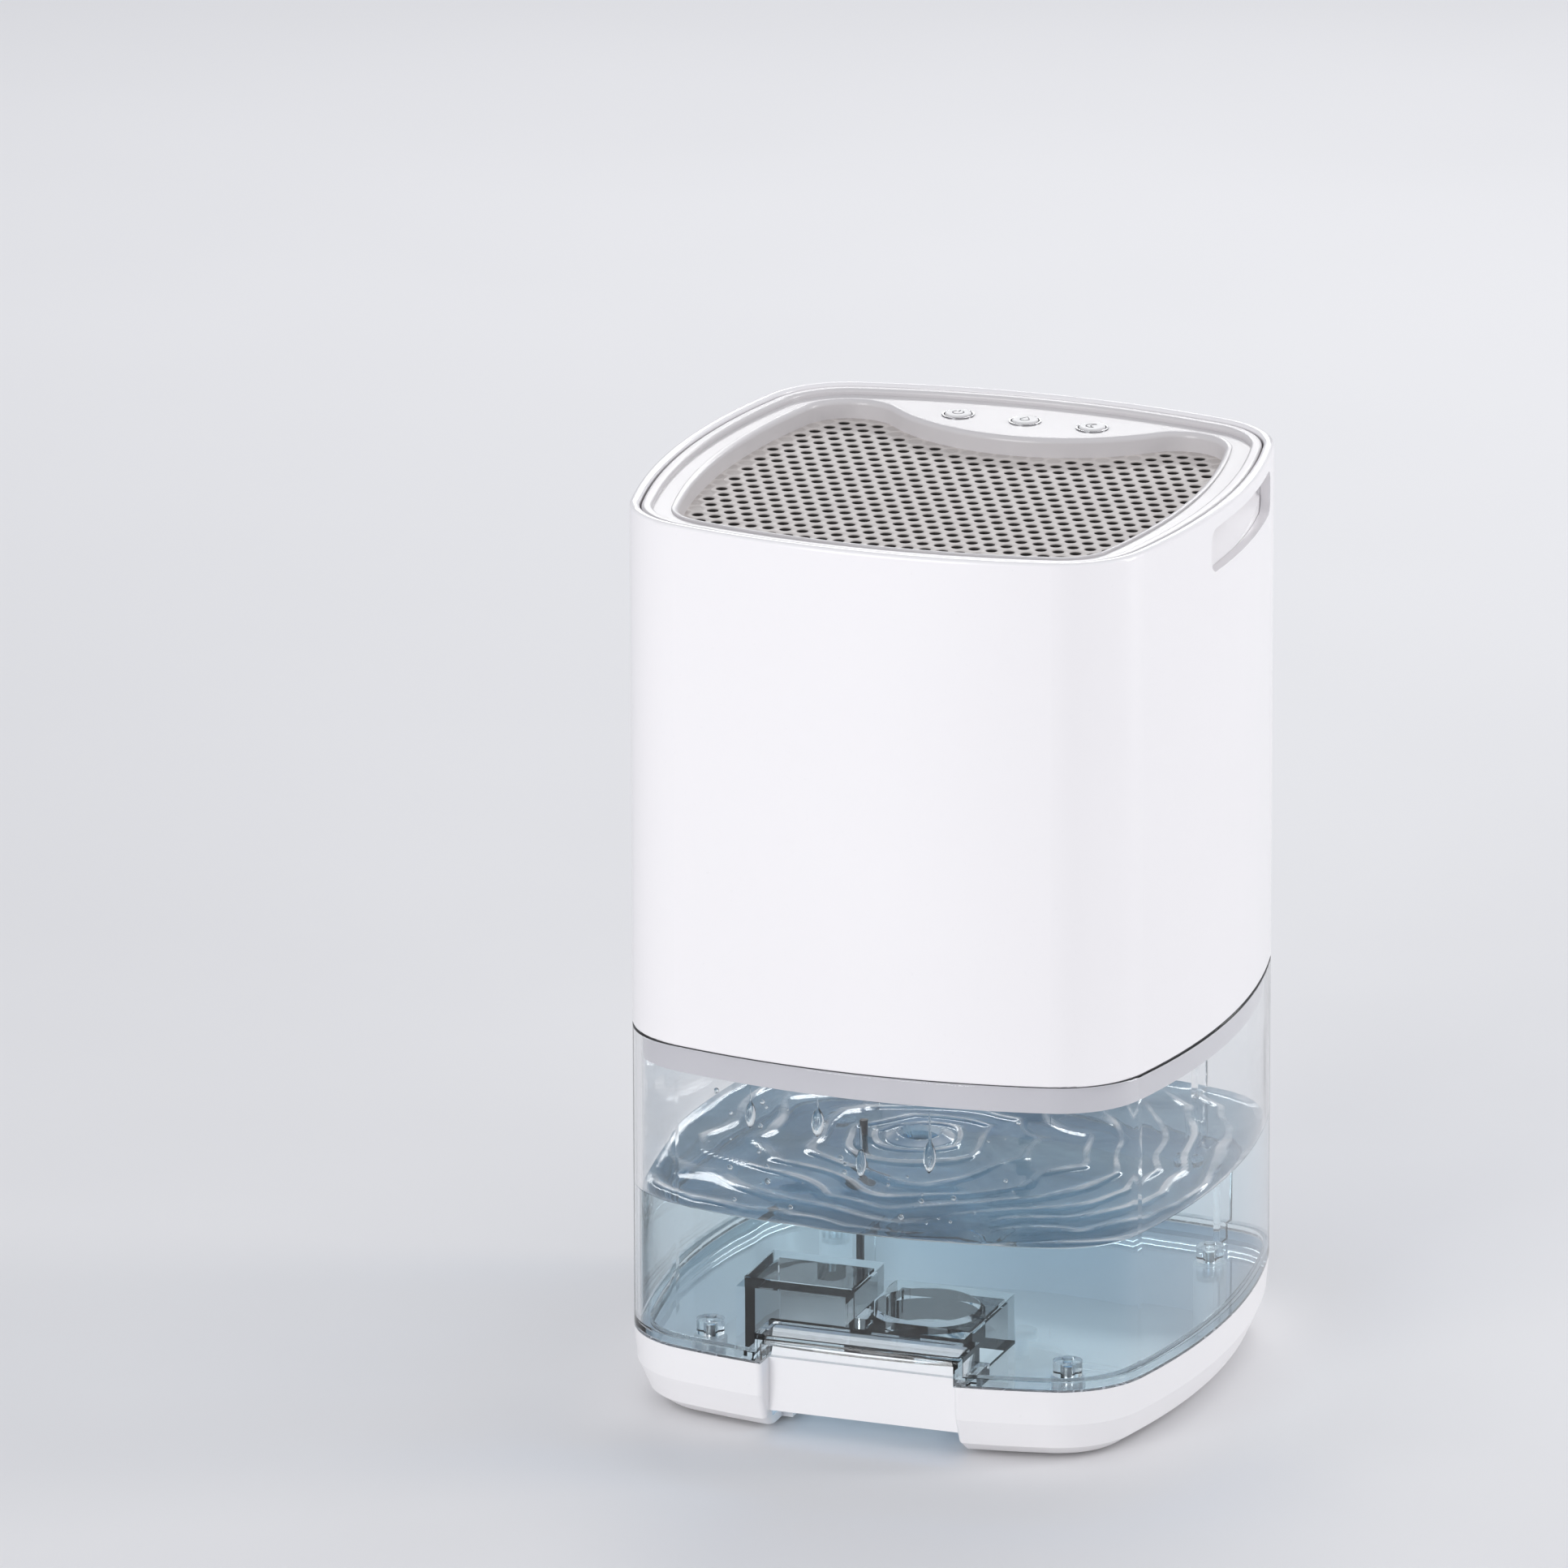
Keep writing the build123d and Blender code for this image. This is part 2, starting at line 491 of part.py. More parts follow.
with BuildPart() as top_cover:
    prism(PANEL_BOTTOM, LIP_TOP, COVER_INSET)
    hollow(PANEL_TOP, LIP_TOP, COVER_INSET + LIP_WIDTH)
    fillet(top_cover.edges().group_by(Axis.Z)[-1], 0.9)
    with BuildSketch(Plane.XY.offset(GRILLE_TOP)):
        grille_outline(-COLLAR_WIDTH)
    extrude(amount=COLLAR_TOP - GRILLE_TOP)
    with BuildSketch(Plane.XY.offset(GRILLE_TOP)):
        grille_outline()
    extrude(amount=10, mode=Mode.SUBTRACT)
    ridge = top_cover.faces().filter_by_position(Axis.Z, COLLAR_TOP - 0.01, COLLAR_TOP + 0.01)[0]
    fillet(ridge.outer_wire().edges(), 0.4)
    ridge = top_cover.faces().filter_by_position(Axis.Z, COLLAR_TOP - 0.01, COLLAR_TOP + 0.01)[0]
    fillet(ridge.inner_wires()[0].edges(), 1.4)
    bore(BUTTON_SPOTS, PANEL_BOTTOM, PANEL_TOP, BEZEL_OUTER + 0.05)
    # posts for the cover screws and the control board
    with BuildSketch(Plane.XY.offset(SHELF_TOP)):
        with Locations(*corners(COVER_POST_AT)):
            Circle(COVER_POST_RADIUS)
    extrude(amount=PANEL_BOTTOM - SHELF_TOP)
    with BuildSketch(Plane.XY.offset(BOARD_TOP)):
        with Locations(*BOARD_POSTS):
            Circle(2.6)
    extrude(amount=PANEL_BOTTOM - BOARD_TOP)
    bore(corners(COVER_POST_AT), SHELF_TOP, PANEL_BOTTOM - 0.5, 1.3)
    bore(BOARD_POSTS, BOARD_TOP, PANEL_BOTTOM - 0.5, 1.1)
save(top_cover, "top_cover")

with BuildPart() as cover_screws:
    screws(corners(COVER_POST_AT), SHELF_BOTTOM, PANEL_BOTTOM - 1, 2.4, 1.8)
save(cover_screws, "cover_screws")

# ---- outlet grille: plate with staggered round holes ----
holes = []
for row in range(-15, 16):
    shift = HOLE_PITCH_X / 2 * (row % 2)
    for column in range(-15, 16):
        spot = (column * HOLE_PITCH_X + shift, row * HOLE_PITCH_Y)
        if in_grille(*spot, HOLE_RADIUS + 1.2):
            holes.append(spot)

with BuildPart() as outlet_grille:
    with BuildSketch(Plane.XY.offset(GRILLE_TOP - GRILLE_THICKNESS)):
        grille_outline(-COLLAR_WIDTH + 0.4)
        with Locations(*holes):
            Circle(HOLE_RADIUS, mode=Mode.SUBTRACT)
    extrude(amount=GRILLE_THICKNESS)
save(outlet_grille, "outlet_grille")

# ---- buttons, their bezels and the board under them ----
for name, x in BUTTONS:
    with BuildPart() as button:
        with BuildSketch(Plane.XY.offset(BUTTON_TOP)):
            with Locations((x, BUTTON_Y)):
                Circle(BUTTON_RADIUS)
        extrude(amount=-5)
        fillet(button.edges().group_by(Axis.Z)[-1], 0.5)
        with BuildSketch(Plane.XY.offset(PANEL_BOTTOM - 1.2)):
            with Locations((x, BUTTON_Y)):
                Circle(BUTTON_RADIUS + 1.0)
        extrude(amount=0.9)
    save(button, name)

with BuildPart() as button_bezels:
    with BuildSketch(Plane.XY.offset(PANEL_BOTTOM)):
        with Locations(*BUTTON_SPOTS):
            Circle(BEZEL_OUTER)
        with Locations(*BUTTON_SPOTS):
            Circle(BEZEL_INNER, mode=Mode.SUBTRACT)
    extrude(amount=PANEL_TOP + 0.3 - PANEL_BOTTOM)
save(button_bezels, "button_bezels")

with BuildPart() as control_board:
    with BuildSketch(Plane.XY.offset(BOARD_TOP - BOARD_THICKNESS)):
        with Locations((0, BUTTON_Y)):
            RectangleRounded(66, 16, 1.5)
    extrude(amount=BOARD_THICKNESS)
    bore(BOARD_POSTS, BOARD_TOP - BOARD_THICKNESS, BOARD_TOP, 1.4)
save(control_board, "control_board")

with BuildPart() as board_screws:
    screws(BOARD_POSTS, BOARD_TOP - BOARD_THICKNESS, PANEL_BOTTOM - 1, 2.2, 1.5, 1.0)
save(board_screws, "board_screws")

with BuildPart() as tact_switches:
    with BuildSketch(Plane.XY.offset(BOARD_TOP)):
        with Locations(*BUTTON_SPOTS):
            Rectangle(6, 6)
    extrude(amount=3.4)
    with BuildSketch(Plane.XY.offset(BOARD_TOP)):
        with Locations(*BUTTON_SPOTS):
            Circle(1.7)
    extrude(amount=4.3)
save(tact_switches, "tact_switches")

# ---- drip pan: closes the housing, nests in the tank's rim and carries the insides ----
SPOUT_BOTTOM = 92.0
PILLAR_RADIUS = 4.0

with BuildPart() as drip_pan:
    prism(SKIRT_BOTTOM, SPIGOT_TOP, SHELL_WALL + SLIP)
    hollow(PAN_FLOOR_TOP, SPIGOT_TOP, PAN_INSET)
    hollow(SKIRT_BOTTOM, PAN_FLOOR_BOTTOM, PAN_INSET)
    with BuildSketch(Plane.XY.offset(SPOUT_BOTTOM)):
        with Locations((SPOUT_X, SPOUT_Y)):
            Circle(5.0)
    extrude(amount=PAN_FLOOR_TOP - SPOUT_BOTTOM)
    with BuildSketch(Plane.XY.offset(PAN_FLOOR_TOP)):
        with Locations(*corners(PILLAR_AT)):
            Circle(PILLAR_RADIUS)
    extrude(amount=DECK_BOTTOM - PAN_FLOOR_TOP)
    # low wall that gathers the drips round the spout
    with BuildSketch(Plane.XY.offset(PAN_FLOOR_TOP)):
        with Locations((-1, 32)):
            RectangleRounded(78, 66, 8)
            RectangleRounded(75, 63, 6.5, mode=Mode.SUBTRACT)
    extrude(amount=3)
    bore([(SPOUT_X, SPOUT_Y)], SPOUT_BOTTOM, PAN_FLOOR_TOP, 3.4)
    bore(corners(BOSS_AT), PAN_FLOOR_BOTTOM, PAN_FLOOR_TOP, 1.7)
    bore(corners(PILLAR_AT), DECK_BOTTOM - 14, DECK_BOTTOM, 1.3)
save(drip_pan, "drip_pan")

with BuildPart() as chassis_screws:
    screws(corners(BOSS_AT), PAN_FLOOR_BOTTOM, PAN_FLOOR_TOP + 14)
save(chassis_screws, "chassis_screws")

with BuildPart() as reed_switch:
    block((-9, FLOAT_Y - 4, GUIDE_TOP), (9, FLOAT_Y + 4, PAN_FLOOR_BOTTOM))
    fillet(reed_switch.edges().filter_by(Axis.Z), 1.5)
save(reed_switch, "reed_switch")

# ---- fan deck and the axial fan under the outlet ----
with BuildPart() as fan_deck:
    prism(DECK_BOTTOM, DECK_TOP, SHELL_WALL + FIT)
    bore([(0, 0)], DECK_BOTTOM, DECK_TOP, FAN_BORE)
    bore(corners(PILLAR_AT), DECK_BOTTOM, DECK_TOP, 1.7)
    bore(corners(FAN_HOLES / 2), DECK_BOTTOM, DECK_TOP, 1.3)
    block((-62, 8, DECK_BOTTOM), (-53, 30, DECK_TOP), Mode.SUBTRACT)
save(fan_deck, "fan_deck")

with BuildPart() as deck_screws:
    screws(corners(PILLAR_AT), DECK_TOP, DECK_BOTTOM - 12)
save(deck_screws, "deck_screws")

TUBE_OUTER, TUBE_INNER = 5.5, 4.0
FAN_TOP = DECK_TOP + FAN_HEIGHT
MOTOR_FLOOR = DECK_TOP + 3.0
SHAFT_RADIUS = 1.5

with BuildPart() as fan_frame:
    with BuildSketch(Plane.XY.offset(DECK_TOP)):
        RectangleRounded(2 * FAN_HALF, 2 * FAN_HALF, 6)
        Circle(FAN_BORE, mode=Mode.SUBTRACT)
    extrude(amount=FAN_HEIGHT)
    # the corner columns are open between their two flanges
    with BuildSketch(Plane.XY.offset(DECK_TOP + 4)):
        Rectangle(2 * FAN_HALF, 2 * FAN_HALF)
        Circle(FAN_BORE + 2, mode=Mode.SUBTRACT)
    extrude(amount=FAN_HEIGHT - 8, mode=Mode.SUBTRACT)
    with BuildSketch(Plane.XY.offset(DECK_TOP)):
        Circle(17)
    extrude(amount=MOTOR_FLOOR - DECK_TOP)
    for spin in (45, 135):
        with BuildSketch(Plane.XY.offset(DECK_TOP)):
            with Locations(Location((0, 0), spin)):
                Rectangle(2 * FAN_BORE + 1, 4)
        extrude(amount=2.5)
    with BuildSketch(Plane.XY.offset(MOTOR_FLOOR)):
        Circle(TUBE_OUTER)
        Circle(TUBE_INNER, mode=Mode.SUBTRACT)
    extrude(amount=12)
    bore(corners(FAN_HOLES / 2), DECK_TOP, FAN_TOP, 2.15)
save(fan_frame, "fan_frame")

with BuildPart() as fan_screws:
    screws(corners(FAN_HOLES / 2), FAN_TOP, DECK_BOTTOM + 0.5, 3.4, 2.0, 1.25)
save(fan_screws, "fan_screws")

with BuildPart() as fan_bearing:
    with BuildSketch(Plane.XY.offset(MOTOR_FLOOR)):
        Circle(TUBE_INNER - 0.02)
        Circle(SHAFT_RADIUS + 0.05, mode=Mode.SUBTRACT)
    extrude(amount=11.5)
save(fan_bearing, "fan_bearing")

with BuildPart() as fan_stator:
    with BuildSketch(Plane.XY.offset(MOTOR_FLOOR + 1)):
        Circle(9)
        with PolarLocations(10, 4):
            Rectangle(7, 9)
        Circle(TUBE_OUTER + 0.05, mode=Mode.SUBTRACT)
    extrude(amount=9)
save(fan_stator, "fan_stator")

HUB_RADIUS = 18.0
HUB_TOP = FAN_TOP - 1.0
BLADES = 7
BLADE_PITCH = 33.0
BLADE_TIP = FAN_BORE - 1.2
BLADE_CHORD = 25.0

with BuildPart() as fan_impeller:
    for blade in range(BLADES):
        angle = 360 / BLADES * blade
        outward = Vector(cos(radians(angle)), sin(radians(angle)), 0)
        along = Vector(-sin(radians(angle)), cos(radians(angle)), 0)
        root = outward * (HUB_RADIUS - 0.8) + Vector(0, 0, DECK_TOP + 13)
        with BuildSketch(Plane(origin=root, x_dir=along, z_dir=outward)):
            with Locations(Location((0, 0), BLADE_PITCH)):
                Rectangle(BLADE_CHORD, 1.6)
        extrude(amount=BLADE_TIP - HUB_RADIUS + 3)
    with BuildSketch(Plane.XY.offset(DECK_TOP)):
        Circle(BLADE_TIP)
    extrude(amount=FAN_HEIGHT, mode=Mode.INTERSECT)
    with BuildSketch(Plane.XY.offset(MOTOR_FLOOR + 0.8)):
        Circle(HUB_RADIUS)
    extrude(amount=HUB_TOP - MOTOR_FLOOR - 0.8)
    fillet(fan_impeller.edges().group_by(Axis.Z)[-1], 1.5)
    bore([(0, 0)], MOTOR_FLOOR, HUB_TOP - 2.5, HUB_RADIUS - 2.2)
    with BuildSketch(Plane.XY.offset(HUB_TOP - 2.5)):
        Circle(3.5)
    extrude(amount=-4.5)
    bore([(0, 0)], MOTOR_FLOOR, HUB_TOP - 2, SHAFT_RADIUS)
save(fan_impeller, "fan_impeller")

with BuildPart() as fan_shaft:
    with BuildSketch(Plane.XY.offset(MOTOR_FLOOR + 0.3)):
        Circle(SHAFT_RADIUS)
    extrude(amount=HUB_TOP - 2 - MOTOR_FLOOR - 0.3)
save(fan_shaft, "fan_shaft")

# ---- Peltier stack: hot sink, module, cold sink, foam surround and clamp screws ----
COLD_FACE_Y = HOT_FACE_Y + MODULE_THICKNESS
HOT_BASE = 6.0
HOT_HALF_WIDTH, HOT_HALF_HEIGHT, HOT_FINS_DEEP, HOT_FIN_COUNT = 40.0, 40.0, 32.0, 17
COLD_BASE = 4.0
COLD_HALF = 30.0
COLD_FINS_DEEP, COLD_FIN_COUNT = 15.0, 11
CLAMP_SPOTS = [(x, MODULE_Z + z) for x in (-26.5, 26.5) for z in (-18, 18)]
SCREW_RADIUS = 1.4

with BuildPart() as hot_sink:
    with BuildSketch(Plane.XZ.offset(-HOT_FACE_Y)):
        with Locations((0, MODULE_Z)):
            Rectangle(2 * HOT_HALF_WIDTH, 2 * HOT_HALF_HEIGHT)
    extrude(amount=HOT_BASE)
    with BuildSketch(Plane.XZ.offset(HOT_BASE - HOT_FACE_Y)):
        with Locations((0, MODULE_Z)):
            with GridLocations(2 * (HOT_HALF_WIDTH - 0.8) / (HOT_FIN_COUNT - 1), 0, HOT_FIN_COUNT, 1):
                Rectangle(1.6, 2 * HOT_HALF_HEIGHT)
    extrude(amount=HOT_FINS_DEEP)
    with BuildSketch(Plane.XZ.offset(-HOT_FACE_Y)):
        with Locations(*CLAMP_SPOTS):
            Circle(SCREW_RADIUS + 0.02)
    extrude(amount=HOT_BASE, mode=Mode.SUBTRACT)
save(hot_sink, "hot_sink")

with BuildPart() as peltier_module:
    with BuildSketch(Plane.XZ.offset(-HOT_FACE_Y)):
        with Locations((0, MODULE_Z)):
            Rectangle(MODULE_SIZE, MODULE_SIZE)
    extrude(amount=-MODULE_THICKNESS)
save(peltier_module, "peltier_module")

with BuildPart() as insulation_foam:
    with BuildSketch(Plane.XZ.offset(-HOT_FACE_Y)):
        with Locations((0, MODULE_Z)):
            Rectangle(2 * COLD_HALF, 2 * COLD_HALF)
            Rectangle(MODULE_SIZE + 0.4, MODULE_SIZE + 0.4, mode=Mode.SUBTRACT)
        with Locations(*CLAMP_SPOTS):
            Circle(SCREW_RADIUS + 0.4, mode=Mode.SUBTRACT)
        with Locations((0, MODULE_Z - 25)):
            Rectangle(8, 11, mode=Mode.SUBTRACT)
    extrude(amount=-MODULE_THICKNESS)
save(insulation_foam, "insulation_foam")

with BuildPart() as cold_sink:
    with BuildSketch(Plane.XZ.offset(-COLD_FACE_Y)):
        with Locations((0, MODULE_Z)):
            Rectangle(2 * COLD_HALF, 2 * COLD_HALF)
    extrude(amount=-COLD_BASE)
    with BuildSketch(Plane.XZ.offset(-COLD_FACE_Y - COLD_BASE)):
        with Locations((0, MODULE_Z)):
            with GridLocations(4.4, 0, COLD_FIN_COUNT, 1):
                Rectangle(1.2, 2 * COLD_HALF)
    extrude(amount=-COLD_FINS_DEEP)
    with BuildSketch(Plane.XZ.offset(-COLD_FACE_Y)):
        with Locations(*CLAMP_SPOTS):
            Circle(SCREW_RADIUS + 0.3)
    extrude(amount=-COLD_BASE, mode=Mode.SUBTRACT)
save(cold_sink, "cold_sink")

with BuildPart() as clamp_screws:
    with BuildSketch(Plane.XZ.offset(-COLD_FACE_Y - COLD_BASE)):
        with Locations(*CLAMP_SPOTS):
            Circle(2.7)
    extrude(amount=-2.2)
    with BuildSketch(Plane.XZ.offset(-COLD_FACE_Y - COLD_BASE)):
        with Locations(*CLAMP_SPOTS):
            Circle(SCREW_RADIUS)
    extrude(amount=COLD_BASE + MODULE_THICKNESS + HOT_BASE - 1)
save(clamp_screws, "clamp_screws")

# ---- bulkhead: parts the cold side from the hot side round the Peltier stack ----
BULKHEAD_HALF = 66.0
with BuildPart() as bulkhead:
    block(
        (-BULKHEAD_HALF, HOT_FACE_Y + SLIP, PAN_FLOOR_TOP + 3.2),
        (BULKHEAD_HALF, HOT_FACE_Y + 2.5, DECK_BOTTOM - SLIP),
    )
    block(
        (-COLD_HALF - FIT, HOT_FACE_Y - 5, MODULE_Z - COLD_HALF - FIT),
        (COLD_HALF + FIT, HOT_FACE_Y + 5, MODULE_Z + COLD_HALF + FIT),
        Mode.SUBTRACT,
    )
    # ways through for the cables
    block((-BULKHEAD_HALF, HOT_FACE_Y - 5, 0), (-38, HOT_FACE_Y + 5, 124), Mode.SUBTRACT)
    block((-5, HOT_FACE_Y - 5, 116), (5, HOT_FACE_Y + 5, 128), Mode.SUBTRACT)
save(bulkhead, "bulkhead")

# ---- rear inlet ----
with BuildPart() as inlet_grille:
    prism(INLET_BOTTOM + 0.3, INLET_TOP - 0.3, 0.2)
    hollow(INLET_BOTTOM, INLET_TOP, SHELL_WALL)
    block((-INLET_HALF + 0.3, 50, 0), (INLET_HALF - 0.3, 90, HEIGHT), Mode.INTERSECT)
    fillet(inlet_grille.edges().filter_by(Axis.Y), 4.7)
    with BuildSketch(Plane.XZ.offset(-60)):
        with Locations((0, (INLET_BOTTOM + INLET_TOP) / 2)):
            with GridLocations(27.5, 5.4, 3, 11):
                SlotOverall(24.5, 2.8)
    extrude(amount=-30, mode=Mode.SUBTRACT)
save(inlet_grille, "inlet_grille")

with BuildPart() as inlet_filter:
    prism(INLET_BOTTOM - 3, INLET_TOP + 3, SHELL_WALL + 0.2)
    hollow(INLET_BOTTOM - 4, INLET_TOP + 4, SHELL_WALL + 2.0)
    block((-INLET_HALF - 2, 50, 0), (INLET_HALF + 2, 90, HEIGHT), Mode.INTERSECT)
save(inlet_filter, "inlet_filter")

# ---- power inlet and boards ----
JACK_BACK, JACK_FACE = 62.0, HALF_WIDTH - 0.3
with BuildPart() as dc_jack:
    with BuildSketch(Plane.XZ.offset(-JACK_BACK)):
        with Locations((0, JACK_Z)):
            Circle(JACK_RADIUS)
    extrude(amount=JACK_BACK - JACK_FACE)
    with BuildSketch(Plane.XZ.offset(-JACK_FACE)):
        with Locations((0, JACK_Z)):
            Circle(3.2)
            Circle(1.0, mode=Mode.SUBTRACT)
    extrude(amount=9.5, mode=Mode.SUBTRACT)
save(dc_jack, "dc_jack")

POWER_X = -60.0
POWER_BOTTOM = 112.0
BOARD_FACE = POWER_X + BOARD_THICKNESS
with BuildPart() as power_board:
    block((POWER_X, -38, POWER_BOTTOM), (BOARD_FACE, 28, 180))
save(power_board, "power_board")

with BuildPart() as board_brackets:
    for y in (-30, 18):
        block((POWER_X - 2.5, y, PAN_FLOOR_TOP), (BOARD_FACE + 2.5, y + 6, 118))
        block((POWER_X - SLIP, y - 1, POWER_BOTTOM - SLIP), (BOARD_FACE + SLIP, y + 7, 120), Mode.SUBTRACT)
save(board_brackets, "board_brackets")

with BuildPart() as board_parts:
    for y, z, radius, length in ((-22, 165, 5, 13), (-8, 165, 5, 13), (12, 160, 4, 9)):
        with BuildSketch(Plane.YZ.offset(BOARD_FACE)):
            with Locations((y, z)):
                Circle(radius)
        extrude(amount=length)
    block((BOARD_FACE, -30, 128), (BOARD_FACE + 11, -12, 144))
    block((BOARD_FACE, -4, 126), (BOARD_FACE + 6, 8, 134))
    block((BOARD_FACE, 14, 126), (BOARD_FACE + 6, 24, 134))
    block((BOARD_FACE, 4, 168), (BOARD_FACE + 6, 13, 176))
    block((BOARD_FACE, 15, 168), (BOARD_FACE + 6, 24, 176))
save(board_parts, "board_parts")

# ---- cables, each from the piece that it leaves to its connector on the power board ----
PLUG_X = BOARD_FACE + 3.0
with BuildPart() as power_lead:
    route = (
        (0, JACK_BACK, JACK_Z),
        (0, 54, JACK_Z),
        (-34, 43, 112),
        (PLUG_X, 42, 112),
        (PLUG_X, 33, 120),
        (PLUG_X, 31, 130),
        (PLUG_X, 24, 130),
    )
    cable(route, 3.5, 1.6)
save(power_lead, "power_lead")

MODULE_MID_Y = HOT_FACE_Y + MODULE_THICKNESS / 2
with BuildPart() as module_leads:
    for start_x, lift in ((-2, 0), (2, 2.4)):
        route = (
            (start_x, MODULE_MID_Y, MODULE_Z - MODULE_SIZE / 2),
            (start_x, MODULE_MID_Y, 125 + lift),
            (start_x, 42.5, 118 + lift),
            (-40, 42.5, 117 + lift),
            (-48.5, 30, 118 + lift),
            (-48.5, 6, 122 + lift),
            (-48.5, 2, 129 + lift),
            (PLUG_X + 3, 2, 129 + lift),
        )
        cable(route, 1.5, 0.8)
save(module_leads, "module_leads")

with BuildPart() as fan_lead:
    route = (
        (-FAN_HALF, 25, DECK_TOP + 2.5),
        (PLUG_X, 25, DECK_TOP + 2.5),
        (PLUG_X, 25, 192),
        (PLUG_X, 20, 184),
        (PLUG_X, 20, 176),
    )
    cable(route, 3.0, 1.2)
save(fan_lead, "fan_lead")

with BuildPart() as control_lead:
    route = (
        (-24, 61, BOARD_TOP - BOARD_THICKNESS),
        (-24, 61, 216),
        (-54, 40, 212),
        (PLUG_X - 1, 12, 212),
        (PLUG_X - 1, 12, 190),
        (PLUG_X, 9, 184),
        (PLUG_X, 9, 176),
    )
    cable(route, 3.0, 1.2)
save(control_lead, "control_lead")
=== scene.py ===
import math
import random

import bmesh
import bpy
from mathutils import Matrix, Vector, noise


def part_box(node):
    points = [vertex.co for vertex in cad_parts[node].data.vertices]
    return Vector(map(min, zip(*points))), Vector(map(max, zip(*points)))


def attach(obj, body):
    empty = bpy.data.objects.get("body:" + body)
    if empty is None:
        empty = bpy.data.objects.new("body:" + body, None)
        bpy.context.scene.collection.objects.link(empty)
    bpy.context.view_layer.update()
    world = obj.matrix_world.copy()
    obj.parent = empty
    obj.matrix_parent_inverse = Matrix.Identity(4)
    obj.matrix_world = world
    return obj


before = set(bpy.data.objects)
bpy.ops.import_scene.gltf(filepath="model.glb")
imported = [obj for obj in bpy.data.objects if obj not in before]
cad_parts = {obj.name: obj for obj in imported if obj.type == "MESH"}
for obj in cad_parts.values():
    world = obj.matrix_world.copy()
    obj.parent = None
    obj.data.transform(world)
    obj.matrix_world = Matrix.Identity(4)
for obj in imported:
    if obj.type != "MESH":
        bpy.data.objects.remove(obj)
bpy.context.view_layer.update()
random.seed(11)
scene = bpy.context.scene
scene.view_settings.view_transform = "Standard"

# ---------------------------------------------------------------- sizes (metres)
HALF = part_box("water_tank")[1].x      # half width at the middle of a side
SIDE_RADIUS = 0.220                   # the plan's four shallow arcs and its corner arcs
CORNER_RADIUS = 0.026
SIDE_CENTRE = SIDE_RADIUS - HALF
CORNER_AT = (math.sqrt(2 * (SIDE_RADIUS - CORNER_RADIUS) ** 2 - SIDE_CENTRE**2) - SIDE_CENTRE) / 2
TOUCH = math.asin(CORNER_AT / (SIDE_RADIUS - CORNER_RADIUS))
PER_SIDE, PER_CORNER = 40, 18         # points along each arc of the plan
WALL_INSET = 0.0024                   # inner face of the tank's wall, where the beads sit
DRIP_INSET = 0.0026

WATER_Z = 0.0605                      # level of the still water
WATER_RIM = 0.00215                   # the water reaches a little into the wall, so no gap shows
WATER_FOOT = 0.00495
STEP_Z, WATER_FLOOR = 0.02375, 0.01935
WATER_RINGS = 110
MENISCUS, MENISCUS_REACH = 0.0010, 0.0011
NOTCH = ((-0.0291, -0.09, 0.01), (0.0291, -0.0607, 0.0291))
HIGH_POCKET = ((-0.0357, -0.07, 0.01), (-0.0053, -0.0388, 0.0407))
LOW_POCKET = ((-0.0056, -0.07, 0.01), (0.0277, -0.0288, 0.0327))

RIPPLE_AT = Vector((-0.012, 0.007))   # under the spout
RING_SPACING, RING_CLOSER = 0.0096, 0.0040
RING_HEIGHT = 0.00070
DIMPLE_DEPTH, DIMPLE_RADIUS = 0.0034, 0.0036
COLLAR_HEIGHT, COLLAR_AT, COLLAR_WIDTH = 0.0012, 0.0065, 0.0022

DRIPS = (                             # x, z of the lower end, width, length, share that is tail
    (-0.0305, 0.0865, 0.0030, 0.0115, 0.35),
    (-0.0110, 0.0868, 0.0036, 0.0115, 0.30),
    (0.0012, 0.0770, 0.0028, 0.0150, 0.45),
    (0.0200, 0.0800, 0.0034, 0.0180, 0.50),
)
DRIP_LEAN, DRIP_FLAT = 0.0003, 0.55
BEADS = 46
STROKE_HEIGHT = 0.00004
BOLD, MEDIUM, FINE = 0.00034, 0.00032, 0.00030


